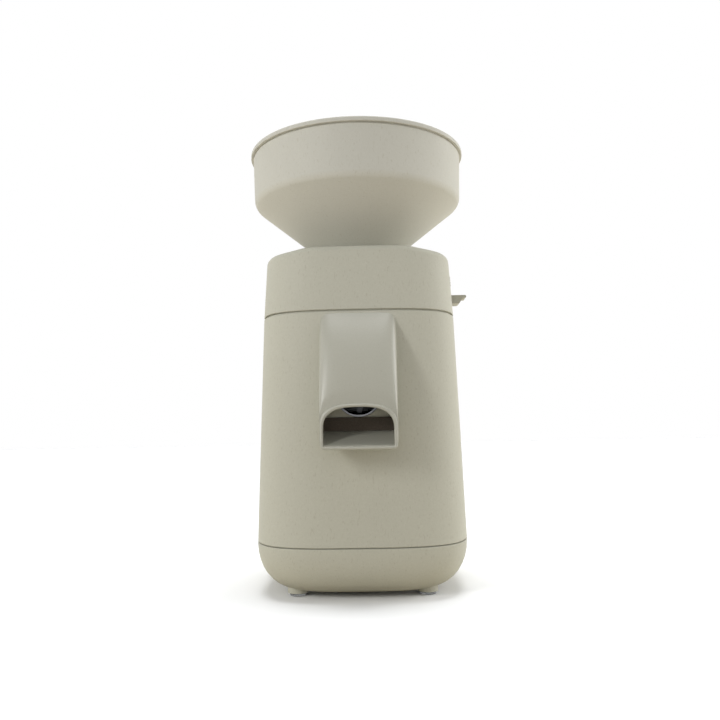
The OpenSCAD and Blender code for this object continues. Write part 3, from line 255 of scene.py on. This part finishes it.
dress(cast_aluminium, "lower_bracket", "upper_bracket", "milling_chamber", "chamber_cover",
      "stone_hub", "stone_carrier", "ring_retainer")


# Commutator and windings
# Drawn copper, bare on the commutator and enamelled in the coils: a warm metal with fine parallel
# strands of wire under a clear coat. The strands are drawn coarser to show.
copper, tree, shader, place = start_material(
    "enamelled_copper", {"Metallic": 1.0, "Roughness": 0.3, "Coat Weight": 0.5})
strand_mm = 1.7
strands = add_node(tree, "ShaderNodeTexWave",
                   {"Vector": place, "Scale": wave_band * repeats(strand_mm), "Distortion": 1.5},
                   bands_direction="Z")
wound = add_node(tree, "ShaderNodeMix",
                 {"Factor": strands.outputs["Fac"], 6: linear("#8f4a22"), 7: linear("#c98047")},
                 data_type="RGBA")
tree.links.new(wound.outputs[2], shader.inputs["Base Color"])
dress(copper, "commutator", "armature_windings")


# Carbon brushes
# Two blocks of pressed carbon that springs hold against the commutator: near black, with grey streaks
# in its colour that are a painted sheen, drawn coarser to show.
carbon, tree, shader, place = start_material("pressed_carbon", {"Roughness": 0.55, "IOR": 1.9})
streak_mm = 0.7
streak = add_node(tree, "ShaderNodeTexNoise",
                  {"Vector": place, "Scale": repeats(streak_mm), "Detail": 2.0})
painted_sheen_streaks = add_node(tree, "ShaderNodeMix",
                  {"Factor": streak.outputs["Fac"], 6: linear("#121214"), 7: linear("#2a2a2d")},
                  data_type="RGBA")
tree.links.new(painted_sheen_streaks.outputs[2], shader.inputs["Base Color"])
dress(carbon, "carbon_brushes")


# Fan, brush holders, rectifier block, switch and cord gland
# Glass-filled nylon, moulded black: a fine spark-eroded texture, drawn coarser to show, gives a soft
# sheen with no clear reflections.
def dark_plastic(name, dark, worn, roughness):
    """Dark moulded plastic with the fine eroded texture of its mould."""
    eroded_mm = 0.7
    sheen_spread = 0.06
    material, tree, shader, place = start_material(name, {"IOR": 1.53})
    eroded = add_node(tree, "ShaderNodeTexNoise",
                      {"Vector": place, "Scale": repeats(eroded_mm), "Detail": 2.0})
    tone = add_node(tree, "ShaderNodeMix",
                    {"Factor": eroded.outputs["Fac"], 6: linear(dark), 7: linear(worn)},
                    data_type="RGBA")
    tree.links.new(tone.outputs[2], shader.inputs["Base Color"])
    sheen = add_node(tree, "ShaderNodeMapRange",
                     {"Value": eroded.outputs["Fac"], "To Min": roughness - sheen_spread,
                      "To Max": roughness + sheen_spread})
    tree.links.new(sheen.outputs["Result"], shader.inputs["Roughness"])
    bump = add_node(tree, "ShaderNodeBump",
                    {"Height": eroded.outputs["Fac"], "Distance": 0.03 * MM, "Strength": 0.5})
    tree.links.new(bump.outputs["Normal"], shader.inputs["Normal"])
    return material


nylon = dark_plastic("moulded_black_nylon", dark="#171718", worn="#242425", roughness=0.5)
dress(nylon, "cooling_fan", "brush_holders", "rectifier_block", "switch_body", "cord_gland",
      "gland_nut")


# Shaft seal
# A ring of pressed wool felt in the chamber floor that keeps flour out of the motor: off-white, dry
# and fuzzy.
felt, tree, shader, place = start_material(
    "pressed_wool_felt", {"Roughness": 0.95, "Sheen Weight": 0.4})
tuft_mm = 1.0
matted = add_node(tree, "ShaderNodeTexNoise",
                  {"Vector": place, "Scale": repeats(tuft_mm), "Detail": 5.0, "Distortion": 1.2})
wool = add_node(tree, "ShaderNodeMix",
                {"Factor": matted.outputs["Fac"], 6: linear("#b9b19c"), 7: linear("#ddd7c6")},
                data_type="RGBA")
tree.links.new(wool.outputs[2], shader.inputs["Base Color"])
fuzz = add_node(tree, "ShaderNodeBump",
                {"Height": matted.outputs["Fac"], "Distance": 0.3 * MM, "Strength": 0.7})
tree.links.new(fuzz.outputs["Normal"], shader.inputs["Normal"])
dress(felt, "shaft_seal")


# Millstones
# Two stones of corundum grit in a ceramic bond, dressed with slanting furrows: dry, rough and
# speckled from white to grey-brown. The grit is about half a millimetre and is drawn at one.
millstone, tree, shader, place = start_material("bonded_corundum", {"Roughness": 0.9, "IOR": 1.6})
corundum_mm = 1.0
grains = add_node(tree, "ShaderNodeTexVoronoi", {"Vector": place, "Scale": repeats(corundum_mm)})
grain_tone = add_node(tree, "ShaderNodeSeparateColor", {"Color": grains.outputs["Color"]})
bonded = add_node(tree, "ShaderNodeMix",
                  {"Factor": grain_tone.outputs["Red"], 6: linear("#a89f90"), 7: linear("#e2ddd1")},
                  data_type="RGBA")
tree.links.new(bonded.outputs[2], shader.inputs["Base Color"])
rough_dressed = add_node(tree, "ShaderNodeBump",
                         {"Height": grains.outputs["Distance"], "Distance": 0.3 * MM, "Strength": 0.8})
tree.links.new(rough_dressed.outputs["Normal"], shader.inputs["Normal"])
dress(millstone, "lower_stone", "upper_stone")


# Adjusting ring
# The threaded ring that sets the gap between the stones, moulded and then turned in dark acetal:
# slippery, waxy and a little glossier than the other plastics.
acetal = dark_plastic("turned_dark_acetal", dark="#2c2f31", worn="#3a3d40", roughness=0.34)
dress(acetal, "adjusting_ring")


# Board and capacitor
# The rectifier board is glass-cloth laminate under green lacquer. Its weave just shows, drawn a little
# coarser. The capacitor has a shrunk-on sleeve of glossy blue PVC.
laminate, tree, shader, place = start_material(
    "lacquered_glass_laminate", {"Roughness": 0.32, "IOR": 1.55, "Coat Weight": 0.4})
weave_mm = 0.8
cloth = add_node(tree, "ShaderNodeTexChecker",
                 {"Vector": place, "Color1": linear("#1d5638"), "Color2": linear("#256544"),
                  "Scale": repeats(weave_mm)})
tree.links.new(cloth.outputs["Color"], shader.inputs["Base Color"])
dress(laminate, "rectifier_board")
sleeve_pvc, tree, shader, place = start_material("shrunk_pvc_sleeve", {"Roughness": 0.22, "IOR": 1.54})
shrinkage_mm = 5
drawn = add_node(tree, "ShaderNodeTexNoise",
                 {"Vector": place, "Scale": repeats(shrinkage_mm), "Detail": 1.0})
sleeve_tone = add_node(tree, "ShaderNodeMix",
                       {"Factor": drawn.outputs["Fac"], 6: linear("#232c48"), 7: linear("#31406b")},
                       data_type="RGBA")
tree.links.new(sleeve_tone.outputs[2], shader.inputs["Base Color"])
dress(sleeve_pvc, "filter_capacitor")


# Body shell
# The tapered middle of the housing, one deep moulding of the same composite as the pan, with the
# louvres, the switch opening and the gland's boss in its rear wall.
dress(composite, "body_shell")


# Rocker switch
# A two-way rocker of smoother black nylon in the rear wall. A printed bar and ring mark its two
# ends in white ink.
rocker_nylon = dark_plastic("polished_black_nylon", dark="#141415", worn="#1d1d1e", roughness=0.38)
dress(rocker_nylon, "switch_rocker")
print_ink, tree, shader, place = start_material("white_pad_print_ink", {"Roughness": 0.5})
ink_mottle_mm = 1.0
ink_film = add_node(tree, "ShaderNodeTexNoise",
                    {"Vector": place, "Scale": repeats(ink_mottle_mm), "Detail": 2.0})
ink_tone = add_node(tree, "ShaderNodeMix",
                    {"Factor": ink_film.outputs["Fac"], 6: linear("#d9d9d6"), 7: linear("#efefec")},
                    data_type="RGBA")
tree.links.new(ink_tone.outputs[2], shader.inputs["Base Color"])


def surface_of(node_name):
    """A search tree over a CAD node's faces, for setting small pieces on its skin."""
    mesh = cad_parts[node_name].data
    return BVHTree.FromPolygons([v.co for v in mesh.vertices], [p.vertices for p in mesh.polygons])


def skin_frame(surface, start, aim):
    """The frame of the skin that a ray meets: its Z points out of the face and its Y goes up."""
    point, normal = surface.ray_cast(Vector(start), Vector(aim))[:2]
    across = Vector((0, 0, 1)).cross(normal).normalized()
    rise = normal.cross(across)
    return Matrix.Translation(point) @ Matrix((across, rise, normal)).transposed().to_4x4()


def mesh_piece(name, build, material, body, placed):
    """A new piece from a bmesh, set on its body in a given frame."""
    sharp_edge = math.radians(40)
    mesh = bpy.data.meshes.new(name)
    build.transform(placed)
    bmesh.ops.recalc_face_normals(build, faces=build.faces)
    build.to_mesh(mesh)
    build.free()
    mesh.materials.append(material)
    mesh.shade_smooth()
    mesh.set_sharp_from_angle(angle=sharp_edge)
    piece = bpy.data.objects.new(name, mesh)
    bpy.context.scene.collection.objects.link(piece)
    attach(piece, body)
    return piece


def turned(profile, sides):
    """A solid turned about Z from radius and height points, closed on the axis or in a loop."""
    build = bmesh.new()
    on_axis = profile[0][0] == 0
    rings = []
    for radius, height in profile:
        count = 1 if radius == 0 else sides
        rings.append([build.verts.new((radius * math.cos(2 * math.pi * i / sides),
                                       radius * math.sin(2 * math.pi * i / sides), height))
                      for i in range(count)])
    pairs = list(zip(rings, rings[1:])) if on_axis else list(zip(rings, rings[1:] + rings[:1]))
    for lower, upper in pairs:
        for i in range(sides):
            k = (i + 1) % sides
            corners = [lower[i % len(lower)], lower[k % len(lower)],
                       upper[k % len(upper)], upper[i % len(upper)]]
            build.faces.new(list(dict.fromkeys(corners)))
    return build


ink_proud = 0.06 * MM
ink_sunk = -0.15 * MM
ring_outer = 2.1 * MM
ring_inner = 1.5 * MM
ring_sides = 40
bar_width = 0.7 * MM
bar_length = 4.2 * MM
bar_thick = 0.2 * MM
mark_share = 0.24
forwards = (0, -1, 0)
rocker_skin = surface_of("switch_rocker")
rocker_low, rocker_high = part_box("switch_rocker")
behind_rocker = rocker_high.y + 50 * MM
mark_inset = mark_share * (rocker_high.z - rocker_low.z)
ring_start = (0, behind_rocker, rocker_low.z + mark_inset)
off_ring = turned([(ring_outer, ink_sunk), (ring_outer, ink_proud),
                   (ring_inner, ink_proud), (ring_inner, ink_sunk)], ring_sides)
mesh_piece("off_ring_mark", off_ring, print_ink, "rocker",
           skin_frame(rocker_skin, ring_start, forwards))
bar_start = (0, behind_rocker, rocker_high.z - mark_inset)
on_bar = bmesh.new()
bmesh.ops.create_cube(on_bar, size=1.0, matrix=Matrix.Diagonal((bar_width, bar_length, bar_thick, 1)))
mesh_piece("on_bar_mark", on_bar, print_ink, "rocker",
           skin_frame(rocker_skin, bar_start, forwards))


# Spout
# The flour hood is a separate moulding screwed on from inside the body: the composite with a finer
# skin and a soft satin sheen. Its front leans back into the housing and rolls into its sides.
# Its colours are set darker than the housing's composite, a painted shade; its sheen comes from the
# shader.
satin_shaded_composite = moulded_composite("satin_composite_painted_shade", body="#a7a699", pale="#b0afa3",
                                    fibre="#94907f", fleck_mm=1.2, fleck_strength=0.25,
                                    grain_depth_mm=0.02, roughness=0.4, specular=0.9)
spout_low, spout_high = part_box("spout")
root_half = spout_high.x
mouth_half = 27.0 * MM
spout_wall = 2.4 * MM
mouth_height = 31.9 * MM
mouth_arch = 15.7 * MM
root_arch = 36.0 * MM
mouth_roundness = 2.7
root_roundness = 10.0
late_squaring = 3
mouth_corner = 3.0 * MM
least_corner = 0.8 * MM
mouth_lip = 1.2 * MM
floor_rise = 10.3 * MM
lean_at_mouth = math.radians(8)
clear_of_seam = 3.0 * MM
body_skin = surface_of("body_shell")
ahead_of_spout = spout_low.y - 100 * MM
root_heights = (spout_low.z + floor_rise, spout_high.z - clear_of_seam)


def between(start, end, share):
    """The value that lies a share of the way from start to end."""
    return start + (end - start) * share


def housing_front(x, z):
    """Depth of the housing's tapered front, worked out from two heights clear of its openings."""
    low_y, high_y = (body_skin.ray_cast(Vector((x, ahead_of_spout, height)), Vector((0, 1, 0)))[0].y
                     for height in root_heights)
    return between(low_y, high_y, (z - root_heights[0]) / (root_heights[1] - root_heights[0]))


# Seen from the side, the hood's ridge is one arc from the top of the mouth back to the housing.
mouth_top = spout_low.z + mouth_height
hood_rise = spout_high.z - mouth_top
hood_run = housing_front(0, spout_high.z) - spout_low.y
lean_at_root = 2 * math.atan(hood_run / hood_rise) - lean_at_mouth
hood_radius = hood_rise / (math.sin(lean_at_root) - math.sin(lean_at_mouth))
arch_steps = 44
corner_steps = 4
floor_steps = 8


def superellipse(turn, roundness):
    """A point of a unit superellipse at a turn."""
    across, rise = math.cos(turn), math.sin(turn)
    return [math.copysign(abs(c) ** (2 / roundness), c) for c in (across, rise)]


def hood_ring(station, inset=0.0, behind=0.0):
    """The hood's outline at a station from the mouth, 0, to the housing, 1, inset from its skin."""
    lean = between(lean_at_mouth, lean_at_root, station)
    depth = ((math.cos(lean_at_mouth) - math.cos(lean))
             / (math.cos(lean_at_mouth) - math.cos(lean_at_root)))
    half = between(mouth_half, root_half, station) - inset
    low = spout_low.z + floor_rise * depth + inset
    top = mouth_top + hood_radius * (math.sin(lean) - math.sin(lean_at_mouth)) - inset
    arch = between(mouth_arch, root_arch, station)
    roundness = between(mouth_roundness, root_roundness, station ** late_squaring)
    corner = max(least_corner, mouth_corner - inset)
    corner_x = half - corner
    corner_z = low + corner
    outline = []
    for i in range(corner_steps + 1):
        turn = math.radians(-90 + 90 * i / corner_steps)
        outline.append((corner_x + corner * math.cos(turn), corner_z + corner * math.sin(turn)))
    for i in range(arch_steps + 1):
        across, rise = superellipse(math.pi * i / arch_steps, roundness)
        outline.append((half * across, top - arch + arch * rise))
    for i in range(corner_steps + 1):
        turn = math.radians(180 + 90 * i / corner_steps)
        outline.append((-corner_x + corner * math.cos(turn), corner_z + corner * math.sin(turn)))
    for i in range(1, floor_steps):
        outline.append((between(-corner_x, corner_x, i / floor_steps), low))
    return [(x, between(spout_low.y, housing_front(x, z), depth) + behind, z) for x, z in outline]


hood_steps = 20
lip_steps = 2
hood_stations = [i / hood_steps for i in range(lip_steps, hood_steps + 1)]
lip_turns = [math.radians(a) for a in (0, 30, 60, 90)]
lip_curve = [(mouth_lip * (1 - math.cos(turn)), mouth_lip * (1 - math.sin(turn))) for turn in lip_turns]
hood_rings = [hood_ring(station) for station in reversed(hood_stations)]
hood_rings += [hood_ring(0, inset, behind) for inset, behind in lip_curve]
hood_rings += [hood_ring(0, spout_wall - inset, behind) for inset, behind in reversed(lip_curve)]
hood_rings += [hood_ring(station, spout_wall) for station in hood_stations]
hood = bmesh.new()
hood_loops = [[hood.verts.new(point) for point in ring] for ring in hood_rings]
for loop, next_loop in zip(hood_loops, hood_loops[1:] + hood_loops[:1]):
    for i in range(len(loop)):
        hood.faces.new((loop[i - 1], loop[i], next_loop[i], next_loop[i - 1]))
spout_piece = mesh_piece("flour_spout", hood, satin_shaded_composite, "housing", Matrix())
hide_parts("spout")
boss_radius = 4.0 * MM
boss_bore = 1.6 * MM
boss_side = 16.0 * MM
boss_drop = 13.0 * MM
boss_gap = 0.1 * MM
boss_facets = 32
boss_height = spout_high.z - boss_drop
boss_lean = math.asin((boss_height + boss_radius - mouth_top) / hood_radius + math.sin(lean_at_mouth))
boss_tip = spout_low.y + hood_radius * (math.cos(lean_at_mouth) - math.cos(boss_lean)) + spout_wall / 2
for side, side_name in ((-1, "left"), (1, "right")):
    boss_root = housing_front(side * boss_side, boss_height)
    boss_length = boss_root - boss_tip
    boss = turned([(boss_bore, boss_gap), (boss_radius, boss_gap),
                   (boss_radius, boss_length), (boss_bore, boss_length)], boss_facets)
    boss_frame = (Matrix.Translation((side * boss_side, boss_root, boss_height))
                  @ Matrix.Rotation(math.radians(90), 4, "X"))
    mesh_piece(f"spout_boss_{side_name}", boss, satin_shaded_composite, "housing", boss_frame)


# Shade strip behind the chute
# A dark brown strip set on the housing behind the foot of the chute, under the outlet tube, where the
# housing lies in deep shade: painted shade, matte and finely grained.
shade_strip_dark, tree, shader, place = start_material(
    "painted_shade_dark_strip", {"Roughness": 0.85, "IOR": 1.5})
shade_strip_grain_mm = 0.8
shade_strip_grain = add_node(tree, "ShaderNodeTexVoronoi", {"Vector": place, "Scale": repeats(shade_strip_grain_mm)})
# Its dark brown is painted shade.
shade_strip_tone = add_node(tree, "ShaderNodeMix",
                     {"Factor": shade_strip_grain.outputs["Distance"], 6: linear("#433b31"), 7: linear("#574e43")},
                     data_type="RGBA")
tree.links.new(shade_strip_tone.outputs[2], shader.inputs["Base Color"])
shade_strip_bump = add_node(tree, "ShaderNodeBump",
                  {"Height": shade_strip_grain.outputs["Distance"], "Distance": 0.1 * MM, "Strength": 0.5})
tree.links.new(shade_strip_bump.outputs["Normal"], shader.inputs["Normal"])
shade_strip_thick = 1.5 * MM
shade_strip_tall = 9.8 * MM
shade_strip_edge = 0.4 * MM
shade_strip_end_gap = 0.2 * MM
shade_strip_floor_gap = 0.1 * MM
shade_strip_steps = 12
shade_strip_half = root_half - spout_wall - shade_strip_end_gap
shade_strip_foot = spout_low.z + floor_rise + spout_wall + shade_strip_floor_gap
shade_strip_profile = [(0, 0), (shade_strip_thick - shade_strip_edge, 0), (shade_strip_thick, shade_strip_edge),
                (shade_strip_thick, shade_strip_tall - shade_strip_edge), (shade_strip_thick - shade_strip_edge, shade_strip_tall),
                (0, shade_strip_tall)]
shade_strip = bmesh.new()
shade_strip_loops = []
for i in range(shade_strip_steps + 1):
    x = between(-shade_strip_half, shade_strip_half, i / shade_strip_steps)
    shade_strip_loops.append([shade_strip.verts.new((x, housing_front(x, shade_strip_foot + rise) - proud, shade_strip_foot + rise))
                       for proud, rise in shade_strip_profile])
for loop, next_loop in zip(shade_strip_loops, shade_strip_loops[1:]):
    for i in range(len(loop)):
        shade_strip.faces.new((loop[i - 1], loop[i], next_loop[i], next_loop[i - 1]))
shade_strip.faces.new(shade_strip_loops[0])
shade_strip.faces.new(shade_strip_loops[-1])
mesh_piece("painted_shade_strip", shade_strip, shade_strip_dark, "housing", Matrix())


# Head shell and fineness scale
# The cap of the housing, moulded in the composite with the hopper's seat on top. Along the lever's
# slot stand the moulded marks of the fineness scale: dots that grow from fine to coarse, and numbers.
dress(composite, "head_shell")
head_skin = surface_of("head_shell")
outside_head = 200 * MM
mill_axis_y = (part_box("hopper")[0].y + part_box("hopper")[1].y) / 2
slot_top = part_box("adjusting_lever")[1].z
dot_proud = 0.45 * MM
dot_sunk = -0.4 * MM
dot_sides = 24


def on_head(turn_deg, height):
    """The frame of the head's skin at an angle from the lever's side and a height."""
    outward = Vector((math.cos(math.radians(turn_deg)), math.sin(math.radians(turn_deg)), 0))
    start = Vector((0, mill_axis_y, height)) + outward * outside_head
    return skin_frame(head_skin, start, -outward)


def moulded_dot(name, radius, turn_deg, height):
    """A low dome standing on the head's skin."""
    rises = [math.radians(a) for a in (0, 30, 60)]
    edge = [(radius * math.cos(rise), dot_proud * math.sin(rise)) for rise in rises]
    dome = [(0, dot_sunk), (radius, dot_sunk), *edge, (0, dot_proud)]
    mesh_piece(name, turned(dome, dot_sides), composite, "housing",
               on_head(turn_deg, height))


dot_height = slot_top + 3.6 * MM
finest_setting_deg = -10
setting_step_deg = 10
setting_count = 5
finest_dot = 0.7 * MM
dot_growth = 0.25 * MM
for setting in range(setting_count):
    moulded_dot(f"scale_dot_{setting + 1}", finest_dot + setting * dot_growth,
                finest_setting_deg + setting * setting_step_deg, dot_height)
fine_dot = 0.62 * MM
fine_rows = 4
fine_pitch = 2.1 * MM
fine_foot = dot_height - 1.2 * MM
fine_turn_deg = -21.5
fine_spread_deg = 0.9
for row in range(fine_rows):
    for side, side_name in ((-1, "front"), (1, "rear")):
        moulded_dot(f"fine_dot_{row + 1}_{side_name}", fine_dot,
                    fine_turn_deg + side * fine_spread_deg, fine_foot + row * fine_pitch)


def moulded_numeral(name, digits, turn_deg, height):
    """A raised number on the head's skin, in a plain upright face."""
    letter = bpy.data.curves.new(name, "FONT")
    letter.body = digits
    letter.size = 5.2 * MM
    letter.align_x = "CENTER"
    letter.align_y = "CENTER"
    letter.extrude = 0.45 * MM
    letter.bevel_depth = 0.08 * MM
    letter.resolution_u = 4
    shaped = bpy.data.objects.new(name + "_outline", letter)
    build = bmesh.new()
    build.from_mesh(shaped.to_mesh())
    bpy.data.objects.remove(shaped)
    mesh_piece(name, build, composite, "housing", on_head(turn_deg, height))


numeral_height = dot_height + 6.2 * MM
for digits, turn_deg in (("1", -10), ("5", 10), ("9", 30)):
    moulded_numeral(f"scale_number_{digits}", digits, turn_deg, numeral_height)


# Lever
# The handle that turns the adjusting ring, moulded in the composite with its curved dust shield and
# screwed down on the ring.
dress(composite, "adjusting_lever")


# Hopper and lid
# A round funnel that lifts out of the head, and a flat lid with a locating ring. Both are moulded
# with thinner walls than the housing. Their composite is set a little lighter than the housing's,
# as painted light, and a little less yellow.
hopper_lit_composite = moulded_composite("hopper_composite_painted_light", body="#c4c3b9", pale="#cbcac1",
                                   fibre="#aea998", fleck_mm=1.5, fleck_strength=0.35,
                                   grain_depth_mm=0.04, roughness=0.6)
dress(hopper_lit_composite, "hopper", "hopper_lid")


# Floor, light and camera
# A white paper sweep in a soft white room that dims in front and overhead. A broad bank hangs above, a
# softbox stands at each side, a narrow lamp at the front left, and a low snoot lifts the hopper's cone.
def seen_by_eye(tree):
    """One for rays that show the stage itself, to the camera, in a reflection or through glass."""
    ray = add_node(tree, "ShaderNodeLightPath")
    direct = add_node(tree, "ShaderNodeMath",
                      {0: ray.outputs["Is Camera Ray"], 1: ray.outputs["Is Glossy Ray"]},
                      operation="MAXIMUM")
    shown = add_node(tree, "ShaderNodeMath",
                     {0: direct.outputs["Value"], 1: ray.outputs["Is Transmission Ray"]},
                     operation="MAXIMUM")
    return shown.outputs["Value"]


paper = bpy.data.materials.new("white_paper_sweep")
paper.use_nodes = True
tree = paper.node_tree
tree.nodes.clear()
place = add_node(tree, "ShaderNodeTexCoord").outputs["Object"]
along = add_node(tree, "ShaderNodeSeparateXYZ", {"Vector": place})
# The paper bounces light as a warm cream that fades to a darker grey ahead of the mill: painted shade
# on the paper in front. To the eye it shows near-white.
front_shade_fade = add_node(tree, "ShaderNodeMapRange",
                       {"Value": along.outputs["Y"], "From Min": -0.42, "From Max": 0.1},
                       interpolation_type="SMOOTHSTEP")
bounce_with_front_shade = add_node(tree, "ShaderNodeMix",
                  {"Factor": front_shade_fade.outputs["Result"], 6: linear("#a39b90"), 7: linear("#e2d9c4")},
                  data_type="RGBA")
paper_tone = add_node(tree, "ShaderNodeMix",
                      {"Factor": seen_by_eye(tree), 6: bounce_with_front_shade.outputs[2], 7: linear("#fdfeff")},
                      data_type="RGBA")
matte = add_node(tree, "ShaderNodeBsdfDiffuse", {"Color": paper_tone.outputs[2]})
add_node(tree, "ShaderNodeOutputMaterial", {"Surface": matte.outputs["BSDF"]})
floor_width = 8.0
bpy.ops.mesh.primitive_plane_add(size=floor_width, location=(0, 0, 0))
floor = bpy.context.object
floor.name = "floor"
floor.data.materials.append(paper)

scene = bpy.context.scene
scene.view_settings.view_transform = "Standard"
world = bpy.data.worlds.new("white_room")
scene.world = world
world.use_nodes = True
sky = world.node_tree
sky.nodes.clear()
towards = add_node(sky, "ShaderNodeTexCoord").outputs["Generated"]
axes = add_node(sky, "ShaderNodeSeparateXYZ", {"Vector": towards})
front_dim = add_node(sky, "ShaderNodeMapRange",
                     {"Value": axes.outputs["Y"], "From Min": -0.95, "From Max": -0.3,
                      "To Min": 0.6, "To Max": 1.04}, interpolation_type="SMOOTHSTEP")
zenith_dim = add_node(sky, "ShaderNodeMapRange",
                      {"Value": axes.outputs["Z"], "From Min": 0.2, "From Max": 0.9,
                       "To Min": 1.0, "To Max": 0.1}, interpolation_type="SMOOTHSTEP")
room_level = add_node(sky, "ShaderNodeMath",
                      {0: front_dim.outputs["Result"], 1: zenith_dim.outputs["Result"]},
                      operation="MULTIPLY")
room = add_node(sky, "ShaderNodeBackground",
                {"Color": linear("#fdfeff"), "Strength": room_level.outputs["Value"]})
backdrop = add_node(sky, "ShaderNodeBackground", {"Color": linear("#ffffff"), "Strength": 1.0})
mixed = add_node(sky, "ShaderNodeMixShader",
                 {0: seen_by_eye(sky), 1: room.outputs["Background"],
                  2: backdrop.outputs["Background"]})
add_node(sky, "ShaderNodeOutputWorld", {"Surface": mixed.outputs["Shader"]})


mill_middle = (0, mill_axis_y, 0.18)
hopper_cone = (0, mill_axis_y, 0.3)


def hang_lamp(lamp, place, aim):
    """Puts a lamp at a place, looking at a point."""
    hung = bpy.data.objects.new(lamp.name, lamp)
    hung.location = place
    hung.rotation_euler = (Vector(aim) - Vector(place)).to_track_quat("-Z", "Y").to_euler()
    scene.collection.objects.link(hung)


def softbox(name, place, width, height, power):
    """A rectangular area lamp that looks at the middle of the mill."""
    lamp = bpy.data.lights.new(name, "AREA")
    lamp.shape = "RECTANGLE"
    lamp.size = width
    lamp.size_y = height
    lamp.energy = power
    hang_lamp(lamp, place, mill_middle)


softbox("left_lamp", place=(-0.8, -0.83, 0.6), width=0.12, height=0.4, power=4.2)
softbox("left_softbox", place=(-1.2, 0.1, 0.6), width=0.9, height=0.9, power=0.9)
softbox("right_softbox", place=(1.2, 0.1, 0.6), width=0.9, height=0.9, power=7.0)
overhead = bpy.data.lights.new("overhead_bank", "SUN")
overhead.energy = 2.1
overhead.angle = math.radians(35)
overhung = bpy.data.objects.new("overhead_bank", overhead)
overhung.rotation_euler = (math.radians(-6), 0, 0)
scene.collection.objects.link(overhung)
snoot = bpy.data.lights.new("low_snoot", "SPOT")
snoot.energy = 2.4
snoot.spot_size = math.radians(24)
snoot.spot_blend = 1.0
snoot.shadow_soft_size = 0.08
hang_lamp(snoot, place=(0.1, -0.9, 0.03), aim=hopper_cone)

# The camera stands low, not far above the worktop, and looks slightly up. It was fitted to the mill's
# outline, with its focal length in pixels of the square photograph.
camera_distance = 610.7 * MM
camera_height = 128.25 * MM
camera_turn = math.radians(1.0)
camera_pitch = math.radians(4.94)
camera_roll = math.radians(1.014)
photo_size = 720
photo_focal = 728.56
lens = bpy.data.cameras.new("photo_camera")
lens.sensor_width = 36.0
lens.lens = lens.sensor_width * photo_focal / photo_size
lens.clip_start = 0.01
camera = bpy.data.objects.new("photo_camera", lens)
ahead = Vector((-math.sin(camera_turn) * math.cos(camera_pitch),
                math.cos(camera_turn) * math.cos(camera_pitch), math.sin(camera_pitch)))
across = Vector((math.cos(camera_turn), math.sin(camera_turn), 0))
upward = across.cross(ahead)
right = across * math.cos(camera_roll) - upward * math.sin(camera_roll)
top = across * math.sin(camera_roll) + upward * math.cos(camera_roll)
camera_axes = Matrix((right, top, -ahead)).transposed().to_4x4()
camera_place = Vector((math.sin(camera_turn) * camera_distance,
                       mill_axis_y - math.cos(camera_turn) * camera_distance, camera_height))
camera.matrix_world = Matrix.Translation(camera_place) @ camera_axes
scene.collection.objects.link(camera)
scene.camera = camera
